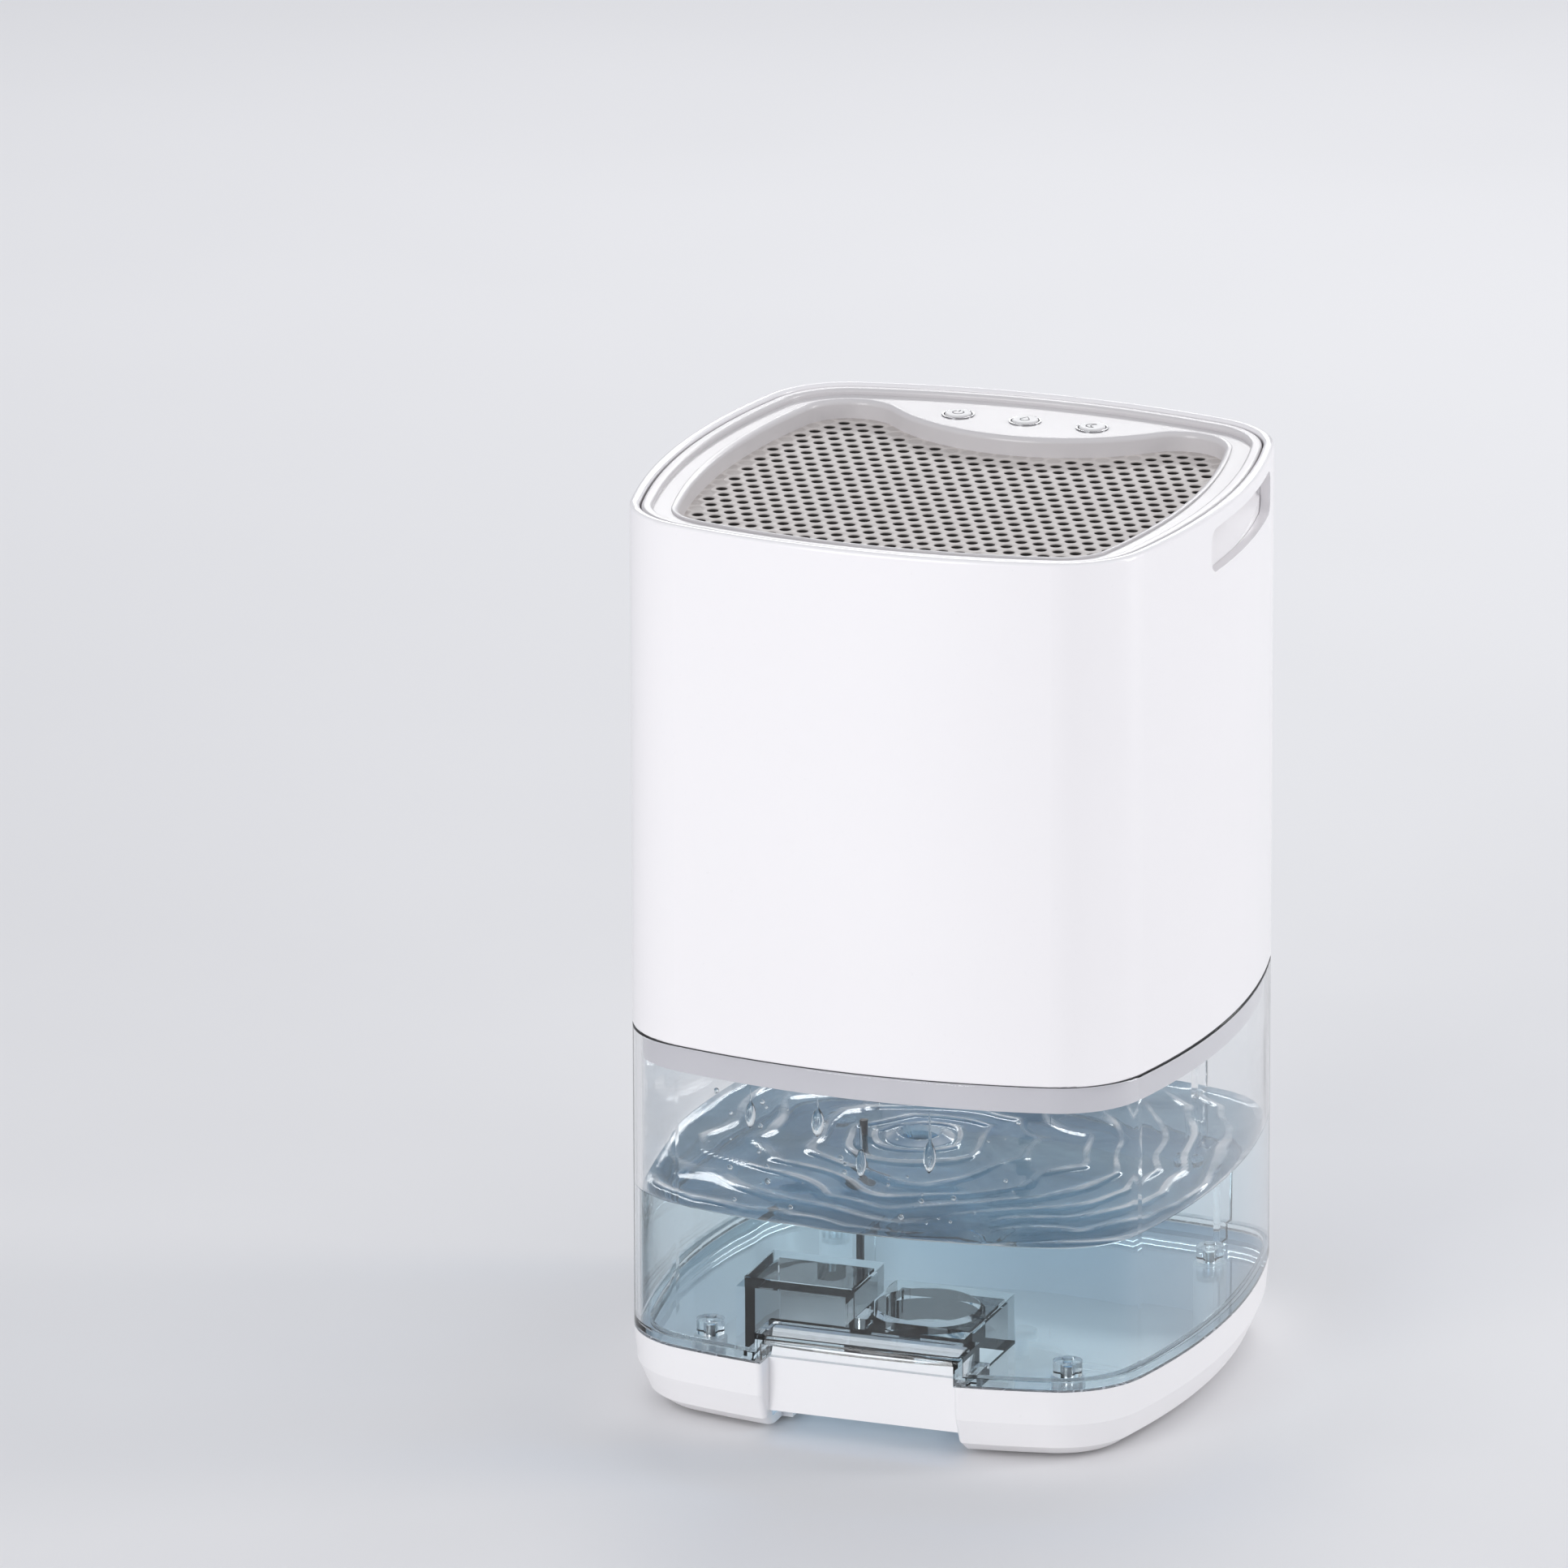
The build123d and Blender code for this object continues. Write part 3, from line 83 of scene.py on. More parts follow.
# ---------------------------------------------------------------- materials
class Finish:
    """A procedural material round one Principled shader."""

    def __init__(self, name, **fixed):
        self.mat = bpy.data.materials.new(name)
        self.mat.use_nodes = True
        self.nodes = self.mat.node_tree.nodes
        self.links = self.mat.node_tree.links
        self.shader = self.nodes["Principled BSDF"]
        self.out = self.nodes["Material Output"]
        for socket, value in fixed.items():
            self.shader.inputs[socket.replace("_", " ")].default_value = value
        self.place = self.add("ShaderNodeTexCoord").outputs["Object"]

    def add(self, kind, props=(), **sockets):
        node = self.nodes.new(kind)
        for key, value in dict(props).items():
            setattr(node, key, value)
        for key, value in sockets.items():
            # _3 is the node's input number 3, and any other key is an input's name
            self.feed(node.inputs[int(key[1:])] if key[1:].isdigit() else node.inputs[key], value)
        return node

    def feed(self, socket, value):
        if isinstance(value, bpy.types.NodeSocket):
            self.links.new(value, socket)
        else:
            socket.default_value = value

    def stretched(self, by):
        return self.add("ShaderNodeMapping", Vector=self.place, Scale=by).outputs[0]

    def noise(self, scale, detail=3.0, rough=0.5, place=None, lumps=0.0):
        return self.add(
            "ShaderNodeTexNoise", Vector=place or self.place, Scale=scale, Detail=detail,
            Roughness=rough, Distortion=lumps,
        ).outputs["Fac"]

    def cells(self, scale, feature="F1"):
        return self.add(
            "ShaderNodeTexVoronoi", {"feature": feature}, Vector=self.place, Scale=scale
        ).outputs["Distance"]

    def remap(self, value, low, high, to_low, to_high):
        return self.add(
            "ShaderNodeMapRange", _0=value, _1=low, _2=high, _3=to_low, _4=to_high
        ).outputs[0]

    def math(self, what, a, b=0.0):
        return self.add("ShaderNodeMath", {"operation": what}, _0=a, _1=b).outputs[0]

    def blend(self, factor, a, b):
        """Mixes two colours, each three numbers or a socket."""
        node = self.add("ShaderNodeMix", {"data_type": "RGBA"}, _0=factor)
        for number, value in ((6, a), (7, b)):
            linked = isinstance(value, bpy.types.NodeSocket)
            self.feed(node.inputs[number], value if linked else (*value, 1))
        return node.outputs[2]

    def axis(self, letter):
        return self.add("ShaderNodeSeparateXYZ", Vector=self.place).outputs[letter]

    def bump(self, height, strength, depth, under=None):
        node = self.add("ShaderNodeBump", Height=height, Strength=strength, Distance=depth)
        if under is not None:
            self.links.new(under, node.inputs["Normal"])
        return node.outputs[0]

    def colour(self, value):
        self.feed(self.shader.inputs["Base Color"], value)

    def roughness(self, value):
        self.feed(self.shader.inputs["Roughness"], value)

    def normal(self, value):
        self.feed(self.shader.inputs["Normal"], value)


def plastic(
    name, tone, shade, rough=0.3, spread=0.08, grain=0.12, grain_scale=1900.0, waves=0.05, **fixed
):
    """Moulded plastic: faint mottling, smudged gloss, fine grain and slight sink waves."""
    f = Finish(name, IOR=1.49, **fixed)
    mottle = f.remap(f.noise(16.0, 3.0, 0.5), 0.25, 0.75, 0.0, 1.0)
    specks = f.remap(f.noise(900.0, 2.0), 0.70, 0.80, 0.0, 0.35)
    f.colour(f.blend(specks, f.blend(mottle, tone, shade), tuple(c * 0.9 for c in shade)))
    smudge = f.noise(24.0, 3.0, 0.5, f.stretched((1.0, 1.0, 0.4)))
    f.roughness(f.remap(smudge, 0.3, 0.72, rough - spread * 0.6, rough + spread))
    low = f.bump(f.noise(14.0, 2.0), waves, 0.0006)
    f.normal(f.bump(f.noise(grain_scale, 3.0), grain, 0.00006, low))
    return f


def metal(name, tone, rough, brush=None, **fixed):
    """Metal with brushed or cast streaks and uneven gloss."""
    f = Finish(name, Metallic=1.0, **fixed)
    streak = f.noise(900.0, 3.0, 0.6, f.stretched(brush or (1.0, 1.0, 1.0)))
    f.colour(f.blend(f.remap(f.noise(60.0), 0.3, 0.7, 0.0, 1.0), tone, tuple(c * 0.82 for c in tone)))
    f.roughness(f.remap(streak, 0.3, 0.7, rough - 0.06, rough + 0.1))
    f.normal(f.bump(streak, 0.18, 0.00005))
    return f


def let_lamps_through(f, tint):
    """Lamps and bounced light pass straight through the clear shader, which the camera still sees bend."""
    path = f.add("ShaderNodeLightPath")
    open_way = f.add("ShaderNodeBsdfTransparent", Color=(*tint, 1))
    inner = f.add("ShaderNodeMixShader", _0=path.outputs["Is Diffuse Ray"])
    outer = f.add("ShaderNodeMixShader", _0=path.outputs["Is Shadow Ray"])
    f.links.new(f.shader.outputs[0], inner.inputs[1])
    f.links.new(open_way.outputs[0], inner.inputs[2])
    f.links.new(inner.outputs[0], outer.inputs[1])
    f.links.new(open_way.outputs[0], outer.inputs[2])
    f.links.new(outer.outputs[0], f.out.inputs["Surface"])


PLASTICS = {
    "shell_white": dict(
        tone=(0.925, 0.903, 0.915), shade=(0.915, 0.893, 0.905), rough=0.3, spread=0.03, grain=0.08,
        waves=0.03, Coat_Weight=0.55, Coat_Roughness=0.1,
    ),
    # the top cover is the housing's white plastic; its darker tone here is painted shade, not a darker
    # plastic
    "cover_white_shaded": dict(
        tone=(0.70, 0.675, 0.682), shade=(0.67, 0.645, 0.652), rough=0.34, spread=0.03, grain=0.1,
        waves=0.03, Coat_Weight=0.3, Coat_Roughness=0.15,
    ),
    "base_white": dict(
        tone=(0.92, 0.905, 0.912), shade=(0.90, 0.885, 0.893), rough=0.32, spread=0.04, grain=0.12,
    ),
    "skirt_grey": dict(tone=(0.60, 0.575, 0.60), shade=(0.53, 0.51, 0.535), rough=0.38, grain=0.25),
    "button_white": dict(tone=(0.85, 0.84, 0.84), shade=(0.78, 0.77, 0.77), rough=0.34, grain=0.2),
    "float_white": dict(tone=(0.82, 0.82, 0.80), shade=(0.74, 0.74, 0.73), rough=0.42, grain=0.3),
    "black_plastic": dict(tone=(0.022, 0.022, 0.024), shade=(0.04, 0.04, 0.043), rough=0.42, grain=0.4),
    "component_black": dict(tone=(0.018, 0.018, 0.02), shade=(0.05, 0.05, 0.052), rough=0.5, grain=0.4),
    "ceramic_white": dict(tone=(0.8, 0.8, 0.78), shade=(0.7, 0.7, 0.69), rough=0.55, grain=0.3),
    "magnet_grey": dict(tone=(0.07, 0.07, 0.075), shade=(0.12, 0.12, 0.125), rough=0.5, grain=0.6),
    "cable_black": dict(tone=(0.02, 0.02, 0.022), shade=(0.05, 0.05, 0.052), rough=0.48, grain=0.5),
    "foot_rubber": dict(
        tone=(0.07, 0.07, 0.072), shade=(0.13, 0.128, 0.125), rough=0.78, grain=0.8, grain_scale=1400.0,
    ),
}
METALS = {
    "bezel_chrome": dict(tone=(0.42, 0.42, 0.43), rough=0.14),
    "steel_zinc": dict(tone=(0.66, 0.67, 0.68), rough=0.32),
    "sink_aluminium": dict(tone=(0.72, 0.73, 0.74), rough=0.36, brush=(1.0, 1.0, 0.04)),
    "brass_bush": dict(tone=(0.72, 0.52, 0.24), rough=0.3, brush=(1.0, 1.0, 0.05)),
    "copper_winding": dict(tone=(0.70, 0.32, 0.16), rough=0.34, brush=(0.1, 0.1, 3.0)),
}
LOOKS = {name: plastic(name, **look) for name, look in PLASTICS.items()}
LOOKS |= {name: metal(name, **look) for name, look in METALS.items()}


def grille_finish():
    """Satin plate: a shallow ridge runs between the holes, dust lies in patches, and painted shade darkens
    the plate round each hole and turns the hole walls nearly black.
    """
    f = Finish("grille_grey", IOR=1.49)
    pitch_x, pitch_y, edge = 0.0048, 0.0049, 0.0016
    x, y = f.axis("X"), f.axis("Y")

    def nearest(shift_x, shift_y):
        off_x = f.math("PINGPONG", f.math("SUBTRACT", x, shift_x), pitch_x / 2)
        off_y = f.math("PINGPONG", f.math("SUBTRACT", y, shift_y), pitch_y)
        return f.math("SQRT", f.math("ADD", f.math("POWER", off_x, 2.0), f.math("POWER", off_y, 2.0)))

    reach = f.math("MINIMUM", nearest(0.0, 0.0), nearest(pitch_x / 2, pitch_y))
    ridge = f.remap(reach, edge, edge + 0.0013, 0.0, 1.0)
    grain = f.noise(1500.0, 4.0, 0.6)
    dust = f.remap(f.noise(90.0, 5.0, 0.65), 0.35, 0.68, 0.0, 1.0)
    base = f.blend(dust, (0.735, 0.685, 0.655), (0.66, 0.61, 0.58))
    # painted shade: the plate's colour darkens near each hole, where the surface slopes down into it
    face = f.blend(f.remap(ridge, 0.0, 0.45, 0.45, 0.0), base, (0.42, 0.385, 0.365))
    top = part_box("outlet_grille")[1].z
    # painted shade: the hole walls below the plate's top face are coloured nearly black
    painted_hole_shade = f.remap(f.axis("Z"), top - 0.00035, top - 0.0001, 1.0, 0.0)
    f.colour(f.blend(painted_hole_shade, face, (0.035, 0.031, 0.030)))
    f.roughness(f.remap(grain, 0.3, 0.7, 0.4, 0.58))
    f.normal(f.bump(grain, 0.3, 0.00008, f.bump(ridge, 0.9, 0.0003)))
    return f


def foam_finish():
    """Open-pored grey foam."""
    f = Finish("foam_grey")
    pores = f.cells(900.0)
    f.colour(f.blend(f.remap(pores, 0.1, 0.7, 0.0, 1.0), (0.10, 0.10, 0.105), (0.22, 0.22, 0.225)))
    f.roughness(f.remap(f.noise(300.0), 0.3, 0.7, 0.85, 0.98))
    f.normal(f.bump(pores, 0.7, 0.0003))
    return f


def filter_finish():
    """Fine woven mesh over a dark backing."""
    f = Finish("filter_grey")
    x, z = f.axis("X"), f.axis("Z")
    threads = 5200.0
    along, across = (f.math("SINE", f.math("MULTIPLY", way, threads)) for way in (x, z))
    weave = f.math("MAXIMUM", along, across)
    f.colour(f.blend(f.remap(weave, -0.2, 0.9, 0.0, 1.0), (0.02, 0.02, 0.022), (0.20, 0.20, 0.205)))
    f.roughness(f.remap(f.noise(140.0), 0.3, 0.7, 0.6, 0.8))
    f.normal(f.bump(weave, 0.6, 0.0002))
    return f


def board_finish():
    """Green solder mask over faint copper tracks."""
    f = Finish("board_green", IOR=1.5, Coat_Weight=0.4, Coat_Roughness=0.2)
    tracks = f.remap(f.cells(240.0, "DISTANCE_TO_EDGE"), 0.02, 0.05, 0.0, 1.0)
    f.colour(f.blend(tracks, (0.035, 0.19, 0.07), (0.012, 0.085, 0.035)))
    f.roughness(f.remap(f.noise(500.0), 0.3, 0.7, 0.3, 0.42))
    f.normal(f.bump(tracks, 0.3, 0.00006))
    return f


def clear_finish(name, bend):
    """Clear tank plastic, very slightly blue, with hair scratches and moulding waves."""
    f = Finish(name, IOR=bend, Transmission_Weight=1.0)
    scratch = f.remap(f.noise(260.0, 6.0, 0.7, f.stretched((1.0, 1.0, 0.05)), 1.5), 0.6, 0.66, 0.0, 1.0)
    patches = f.remap(f.noise(20.0), 0.3, 0.7, 0.0, 1.0)
    f.colour(f.blend(patches, (0.99, 0.996, 1.0), (0.975, 0.988, 0.995)))
    f.roughness(f.remap(scratch, 0.0, 1.0, 0.0, 0.05))
    f.normal(f.bump(f.noise(26.0, 2.0, 0.5), 0.06, 0.0008))
    let_lamps_through(f, (0.985, 0.995, 1.0))
    return f


def take_up_red(f):
    """Depth turns the water light blue."""
    takes_up = f.add("ShaderNodeVolumeAbsorption", Color=(0.24, 0.72, 0.88, 1), Density=3.1)
    f.links.new(takes_up.outputs[0], f.out.inputs["Volume"])


def water_finish():
    """The water's body: it bends light hardly at all, so the tank's own walls do that once."""
    f = Finish("water", IOR=1.03, Transmission_Weight=1.0)
    patches = f.remap(f.noise(30.0), 0.3, 0.7, 0.0, 1.0)
    f.colour(f.blend(patches, (0.985, 0.995, 1.0), (0.965, 0.985, 0.995)))
    f.roughness(f.remap(f.noise(90.0, 3.0), 0.4, 0.8, 0.0, 0.03))
    f.normal(f.bump(f.noise(120.0, 2.0, 0.5), 0.04, 0.0006))
    let_lamps_through(f, (0.96, 0.985, 0.99))
    take_up_red(f)
    return f


def surface_finish():
    """The water's rippled top: steel blue as painted reflection of the dim housing above, a painted
    highlight along the crests and painted shade, nearly black, in the dimple.
    """
    f = Finish("water_surface", IOR=1.333)
    height = f.axis("Z")
    # painted reflection: the dark steel blue and its patches stand in for the dim housing underside
    # mirrored in the water, over the water's faint blue
    patches = f.remap(f.noise(26.0, 4.0, 0.6, None, 0.8), 0.32, 0.68, 0.0, 1.0)
    steel = f.blend(patches, (0.38, 0.54, 0.61), (0.12, 0.22, 0.28))
    # painted highlight: the ripple crests are coloured near white and made less clear, standing in for the
    # light they reflect
    crest = f.remap(height, WATER_Z + 0.00006, WATER_Z + 0.00024, 0.0, 1.0)
    painted_crest_highlight = f.math("MULTIPLY", crest, f.remap(f.noise(60.0, 3.0), 0.36, 0.62, 0.15, 1.0))
    lit = f.blend(painted_crest_highlight, steel, (0.93, 0.96, 0.97))
    # painted shade: the dimple's hollow is coloured nearly black
    painted_dimple_shade = f.remap(height, WATER_Z - 0.0016, WATER_Z - 0.0005, 1.0, 0.0)
    f.colour(f.blend(painted_dimple_shade, lit, (0.02, 0.035, 0.05)))
    f.feed(f.shader.inputs["Transmission Weight"], f.remap(painted_crest_highlight, 0.0, 1.0, 0.72, 0.2))
    f.roughness(f.remap(f.noise(90.0, 3.0), 0.4, 0.8, 0.02, 0.1))
    f.normal(f.bump(f.noise(420.0, 2.0, 0.5), 0.05, 0.0003))
    let_lamps_through(f, (0.95, 0.97, 0.98))
    take_up_red(f)
    return f


def drop_finish():
    """Clear drops with a faint grey-blue cast."""
    f = Finish("drop", IOR=1.333, Transmission_Weight=1.0, Roughness=0.0)
    f.colour(f.blend(f.noise(200.0), (0.84, 0.90, 0.93), (0.94, 0.97, 0.98)))
    f.normal(f.bump(f.noise(500.0), 0.05, 0.0002))
    let_lamps_through(f, (0.9, 0.94, 0.96))
    return f


def ink_finish():
    """Dark print of the button symbols."""
    f = Finish("icon_ink")
    f.colour(f.blend(f.noise(700.0), (0.10, 0.10, 0.105), (0.17, 0.17, 0.175)))
    f.roughness(f.remap(f.noise(400.0), 0.3, 0.7, 0.4, 0.6))
    return f


LOOKS["grille_grey"] = grille_finish()
LOOKS["foam_grey"] = foam_finish()
LOOKS["filter_grey"] = filter_finish()
LOOKS["board_green"] = board_finish()
LOOKS["clear_tank"] = clear_finish("clear_tank", 1.42)
LOOKS["clear_pockets"] = clear_finish("clear_pockets", 1.13)
WATER, SURFACE, DROP, INK = water_finish(), surface_finish(), drop_finish(), ink_finish()

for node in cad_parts.values():
    for place in node.material_slots:
        place.material = LOOKS[place.material.name.split(".")[0]].mat
# the top cover takes the white plastic with painted shade
for name, look in (("top_cover", "cover_white_shaded"), ("finger_pockets", "clear_pockets")):
    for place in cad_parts[name].material_slots:
        place.material = LOOKS[look].mat


# ---------------------------------------------------------------- shapes
def plan(inset):
    """Points along the body's plan moved inwards by inset, anticlockwise from the right side's front."""
    side, corner = SIDE_RADIUS - inset, CORNER_RADIUS - inset
    points = []
    for quarter in range(4):
        turn = Matrix.Rotation(quarter * math.pi / 2, 2)
        for i in range(PER_SIDE):
            a = -TOUCH + 2 * TOUCH * i / PER_SIDE
            points.append(Vector((side * math.cos(a) - SIDE_CENTRE, side * math.sin(a))))
            points[-1].rotate(turn)
        for i in range(PER_CORNER):
            a = TOUCH + (math.pi / 2 - 2 * TOUCH) * i / PER_CORNER
            points.append(Vector((CORNER_AT + corner * math.cos(a), CORNER_AT + corner * math.sin(a))))
            points[-1].rotate(turn)
    return points


def add_mesh(name, vertices, faces, material, smooth=True):
    mesh = bpy.data.meshes.new(name)
    mesh.from_pydata([tuple(v) for v in vertices], [], faces)
    mesh.update()
    if smooth:
        mesh.shade_smooth()
    mesh.materials.append(material)
    obj = bpy.data.objects.new(name, mesh)
    scene.collection.objects.link(obj)
    return obj


def wave(x, y):
    """Height of the water surface over its level: wavering rings round the drip, a dimple in the middle."""
    dx, dy = x - RIPPLE_AT.x, y - RIPPLE_AT.y
    r = math.hypot(dx, dy)
    kinks = abs(noise.noise(Vector((x * 42, y * 42, 2.2))))
    warp = 0.0075 * noise.noise(Vector((x * 30, y * 30, 0.3))) + 0.0070 * kinks
    near = math.exp(-((r / 0.030) ** 2))
    spacing = RING_SPACING - RING_CLOSER * near
    phase = (r + warp * min(1.0, r / 0.015)) / spacing
    crest = 0.5 + 0.5 * math.cos(2 * math.pi * phase)
    strength = 0.75 + 0.7 * noise.noise(Vector((x * 24, y * 24, 9.0)))
    high = RING_HEIGHT * max(0.2, strength) * (0.6 + 0.4 * math.exp(-r / 0.05)) * (crest**5 - 0.2)
    chop = 0.00012 * noise.noise(Vector((x * 75, y * 75, 7.0)))
    dimple = -DIMPLE_DEPTH * math.exp(-((r / DIMPLE_RADIUS) ** 2))
    collar = COLLAR_HEIGHT * math.exp(-(((r - COLLAR_AT) / COLLAR_WIDTH) ** 2))
    return high + chop + (dimple + collar)


def cut(obj, low, high):
    """Cuts a box out of a mesh."""
    bm = bmesh.new()
    bmesh.ops.create_cube(bm, size=1.0)
    size = Vector(high) - Vector(low)
    bmesh.ops.scale(bm, vec=size, verts=bm.verts)
    bmesh.ops.translate(bm, vec=(Vector(high) + Vector(low)) / 2, verts=bm.verts)
    mesh = bpy.data.meshes.new("cutter")
    bm.to_mesh(mesh)
    bm.free()
    tool = bpy.data.objects.new("cutter", mesh)
    scene.collection.objects.link(tool)
    mod = obj.modifiers.new("cut", "BOOLEAN")
    mod.operation, mod.solver, mod.object = "DIFFERENCE", "EXACT", tool
    bpy.context.view_layer.update()
    shaped = bpy.data.meshes.new_from_object(obj.evaluated_get(bpy.context.evaluated_depsgraph_get()))
    obj.modifiers.clear()
    obj.data = shaped
    bpy.data.objects.remove(tool)
    bpy.data.meshes.remove(mesh)


def make_water():
    """The water body: rippled top, walls that reach a little into the tank's wall, stepped foot."""
    rim = plan(WATER_RIM)
    foot = plan(WATER_FOOT)
    rings, n = WATER_RINGS, len(rim)
    vertices = [Vector((RIPPLE_AT.x, RIPPLE_AT.y, WATER_Z + wave(RIPPLE_AT.x, RIPPLE_AT.y)))]
    for ring in range(1, rings + 1):
        t = (ring / rings) ** 1.12
        for p in rim:
            q = RIPPLE_AT + (p - RIPPLE_AT) * t
            to_wall = (p - q).length
            climb = MENISCUS * math.exp(-to_wall / MENISCUS_REACH)
            calmed = wave(q.x, q.y) * min(1.0, to_wall / 0.004 + 0.25)
            vertices.append(Vector((q.x, q.y, WATER_Z + calmed + climb)))
    faces = [(0, 1 + i, 1 + (i + 1) % n) for i in range(n)]
    for ring in range(rings - 1):
        a, b = 1 + ring * n, 1 + (ring + 1) * n
        faces += [(a + i, b + i, b + (i + 1) % n, a + (i + 1) % n) for i in range(n)]
    top = 1 + (rings - 1) * n
    for outline, z in ((rim, STEP_Z), (foot, STEP_Z), (foot, WATER_FLOOR)):
        start = len(vertices)
        vertices += [Vector((p.x, p.y, z)) for p in outline]
        faces += [(top + i, start + i, start + (i + 1) % n, top + (i + 1) % n) for i in range(n)]
        top = start
    faces.append(tuple(reversed(range(top, top + n))))
    water = add_mesh("water", vertices, faces, WATER.mat)
    water.data.materials.append(SURFACE.mat)
    for face in water.data.polygons:
        if face.center.z > WATER_Z - 0.006 and face.normal.z > 0.5:
            face.material_index = 1
    for low, high in (NOTCH, HIGH_POCKET, LOW_POCKET):
        cut(water, low, high)
    water.data.shade_smooth()
    creases = water.modifiers.new("soft", "EDGE_SPLIT")
    creases.split_angle = math.radians(40)
    return water


def drop_shape(name, at, width, length, tail, lean, flat, out):
    """A drop with its heavy end down: at is its lower end, out the way that it bulges from the wall."""
    steps, around = 18, 14
    outward = Vector((out[0], out[1], 0)).normalized()
    sideways = Vector((-outward.y, outward.x, 0))
    vertices, faces = [], []
    for i in range(steps + 1):
        t = i / steps
        z = t * length
        head = math.sqrt(max(0.0, math.sin(min(1.0, t / (1 - tail)) * math.pi)))
        neck = 0.34 * (1 - t) ** 0.5 if t > 0.25 else 0.0
        r = width / 2 * max(head if t < 1 - tail else 0.0, neck) if 0 < i < steps else 0.0
        for k in range(around):
            a = 2 * math.pi * k / around
            vertices.append(
                Vector(at) + Vector((0, 0, z))
                + sideways * (r * math.cos(a) + lean * math.sin(3 * t))
                + outward * (r * flat * math.sin(a))
            )
    for i in range(steps):
        a, b = i * around, (i + 1) * around
        faces += [(a + k, a + (k + 1) % around, b + (k + 1) % around, b + k) for k in range(around)]
    obj = add_mesh(name, vertices, faces, DROP.mat)
    bm = bmesh.new()
    bm.from_mesh(obj.data)
    bmesh.ops.remove_doubles(bm, verts=bm.verts, dist=0.00002)
    bmesh.ops.recalc_face_normals(bm, faces=bm.faces)
    bm.to_mesh(obj.data)
    bm.free()
    obj.data.shade_smooth()
    return obj


def join(objects, name):
    bm = bmesh.new()
    for o in objects:
        bm.from_mesh(o.data)
        mesh = o.data
        bpy.data.objects.remove(o)
        if mesh.users == 0:
            bpy.data.meshes.remove(mesh)
    mesh = bpy.data.meshes.new(name)
    bm.to_mesh(mesh)
    bm.free()
    mesh.shade_smooth()
    obj = bpy.data.objects.new(name, mesh)
    scene.collection.objects.link(obj)
    return obj


def front_y(x, inset):
    """y of the front wall at x, moved inwards by inset."""
    return -(math.sqrt((SIDE_RADIUS - inset) ** 2 - x * x) - SIDE_CENTRE)


def bead(at, radius, squash, out):
    """A small dome on a wall."""
    bm = bmesh.new()
    bmesh.ops.create_uvsphere(bm, u_segments=10, v_segments=7, radius=radius)
    outward = Vector((out[0], out[1], 0)).normalized()
    turn = Vector((0, 0, 1)).rotation_difference(outward).to_matrix().to_4x4()
    bmesh.ops.scale(bm, vec=(1, 1, squash), verts=bm.verts)
    bmesh.ops.transform(bm, matrix=Matrix.Translation(at) @ turn, verts=bm.verts)
    mesh = bpy.data.meshes.new("bead")
    bm.to_mesh(mesh)
    bm.free()
    obj = bpy.data.objects.new("bead", mesh)
    scene.collection.objects.link(obj)
    return obj


water = make_water()
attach(water, "tank")

# drips that hang under the skirt on the inside of the front wall, and the beads round them
drips = []
for i, (x, z, width, length, tail) in enumerate(DRIPS):
    y = front_y(x, DRIP_INSET)
    out = (x / SIDE_RADIUS, -1.0)
    drips.append(drop_shape(f"drip{i}", (x, y, z), width, length, tail, DRIP_LEAN, DRIP_FLAT, out))
for i in range(BEADS):
    x = random.uniform(-0.044, 0.044)
    z = random.uniform(0.064, 0.096)
    y = front_y(x, WALL_INSET)
    drips.append(bead((x, y, z), random.uniform(0.00025, 0.0008), 0.5, (x / SIDE_RADIUS, -1.0)))
beads = join(drips, "drips")
beads.data.materials.append(DROP.mat)
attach(beads, "tank")


def flat_stroke(path, width, z):
    """A thin raised line along path: the top and both sides of a low prism."""
    vertices, faces = [], []
    last = len(path) - 1
    for i, p in enumerate(path):
        before = path[max(i - 1, 0)]
        after = path[min(i + 1, last)]
        along = (after - before).normalized()
        side = Vector((-along.y, along.x)) * width / 2
        for up in (0.0, STROKE_HEIGHT):
            for q in (p + side, p - side):
                vertices.append(Vector((q.x, q.y, z + up)))
    for i in range(last):
        a, b = 4 * i, 4 * (i + 1)
        faces += [(a + 2, b + 2, b + 3, a + 3), (a, b, b + 2, a + 2), (a + 1, a + 3, b + 3, b + 1)]
    return vertices, faces


def arc(centre, radius, start, end, steps=24):
    """Points along an arc, from start to end in degrees."""
    angles = [math.radians(start + (end - start) * i / steps) for i in range(steps + 1)]
    return [centre + Vector((math.cos(a), math.sin(a))) * radius for a in angles]


def icon(button, strokes):
    """Puts a plain symbol on a button's cap; strokes gives each line's points and width."""
    low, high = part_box(button)
    centre = Vector(((low.x + high.x) / 2, (low.y + high.y) / 2))
    vertices, faces = [], []
    for path, width in strokes(centre):
        points, sides = flat_stroke(path, width, high.z)
        faces += [tuple(k + len(vertices) for k in face) for face in sides]
        vertices += points
    mark = add_mesh(f"{button}_mark", vertices, faces, INK.mat, smooth=False)
    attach(mark, button)


def power_sign(c):
    stem = [c + Vector((0, 0.0003)), c + Vector((0, 0.0020))]
    return (arc(c, 0.0015, 125, 415), BOLD), (stem, BOLD)


def drop_sign(c):
    point = [c + Vector((-0.0011, 0.0001)), c + Vector((0, 0.0021)), c + Vector((0.0011, 0.0001))]
    return (arc(c + Vector((0.0, -0.0003)), 0.0012, -200, 20), MEDIUM), (point, MEDIUM)


def moon_sign(c):
    return (arc(c, 0.0016, 60, 300), BOLD), (arc(c + Vector((0.0011, 0)), 0.0014, 100, 260), FINE)


icon("power_button", power_sign)
icon("mode_button", drop_sign)
icon("light_button", moon_sign)

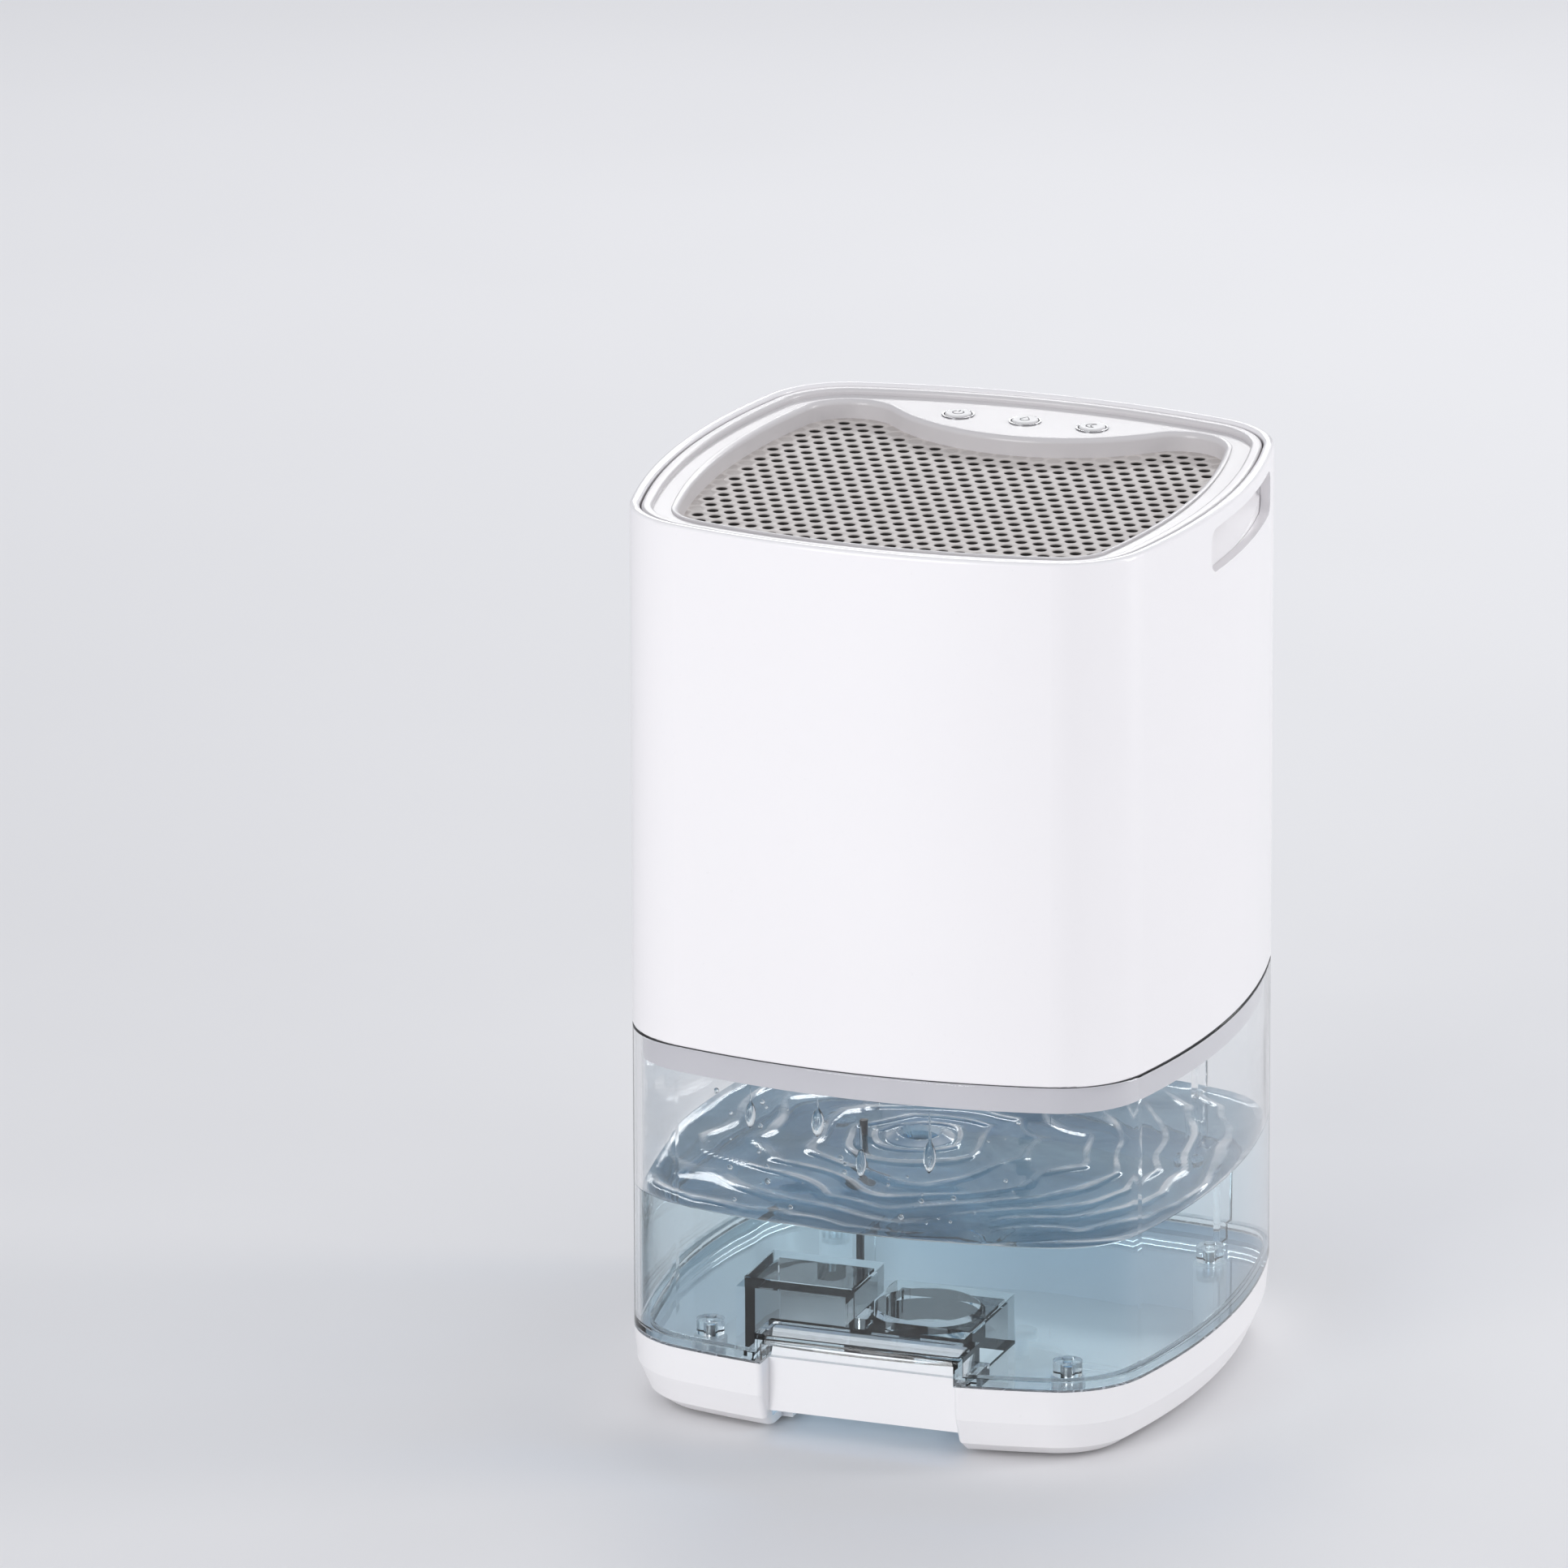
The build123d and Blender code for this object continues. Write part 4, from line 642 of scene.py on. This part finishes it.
# ---------------------------------------------------------------- stage
FLOOR_RADIUS, FLOOR_SIDES = 30, 96


def stage_finish():
    """Pale, faintly clouded floor."""
    f = Finish("stage_floor")
    cloud = f.remap(f.noise(1.6, 4.0, 0.55), 0.3, 0.7, 0.0, 1.0)
    f.colour(f.blend(cloud, (0.835, 0.83, 0.84), (0.81, 0.805, 0.815)))
    f.roughness(f.remap(f.noise(6.0), 0.3, 0.7, 0.55, 0.7))
    f.normal(f.bump(f.noise(120.0, 3.0), 0.05, 0.0004))
    return f


rim_angles = [2 * math.pi * i / FLOOR_SIDES for i in range(FLOOR_SIDES)]
floor = add_mesh(
    "stage_floor",
    [Vector((FLOOR_RADIUS * math.cos(a), FLOOR_RADIUS * math.sin(a), 0)) for a in rim_angles],
    [tuple(range(FLOOR_SIDES))], stage_finish().mat, smooth=False,
)

world = bpy.data.worlds.new("studio")
scene.world = world
world.use_nodes = True
backdrop = world.node_tree.nodes["Background"]
backdrop.inputs["Color"].default_value = (0.93, 0.95, 1.0, 1)
backdrop.inputs["Strength"].default_value = 0.63

LAMPS_AIM = Vector((0, 0, 0.12))


def lamp(name, azimuth, elevation, distance, size, power):
    """A soft box; azimuth 0 is the front and grows towards +X."""
    a, e = math.radians(azimuth), math.radians(elevation)
    data = bpy.data.lights.new(name, "AREA")
    data.shape, data.size, data.size_y = "RECTANGLE", size[0], size[1]
    data.energy = power
    obj = bpy.data.objects.new(name, data)
    way = Vector((math.sin(a) * math.cos(e), -math.cos(a) * math.cos(e), math.sin(e)))
    obj.location = LAMPS_AIM + way * distance
    obj.rotation_euler = (-way).to_track_quat("-Z", "Y").to_euler()
    obj.visible_camera = False
    scene.collection.objects.link(obj)


lamp("key", -14, 14, 2.4, (1.0, 1.2), 21)
lamp("right_strip", 112, 12, 1.5, (0.3, 1.1), 8.5)
lamp("back_strip", 188, 25, 1.6, (1.3, 0.16), 5)

# ---------------------------------------------------------------- camera
AIM = Vector((0, 0, 0.1229))
AZIMUTH, PITCH, DISTANCE = math.radians(19.69), math.radians(18.08), 4.680
# turned away from the object, so it stands right of the middle of the picture and below it
SWING, TILT = math.radians(0.553423), math.radians(0.468306)
camera_data = bpy.data.cameras.new("camera")
camera_data.sensor_width = 36.0
camera_data.lens = 402.6
camera_data.clip_end = 100.0
camera = bpy.data.objects.new("camera", camera_data)
scene.collection.objects.link(camera)
back = Vector((
    math.sin(AZIMUTH) * math.cos(PITCH), -math.cos(AZIMUTH) * math.cos(PITCH), math.sin(PITCH)
))
turn = (-back).to_track_quat("-Z", "Y").to_matrix()
turn = turn @ Matrix.Rotation(SWING, 3, "Y") @ Matrix.Rotation(TILT, 3, "X")
camera.matrix_world = Matrix.Translation(AIM + back * DISTANCE) @ turn.to_4x4()
scene.camera = camera
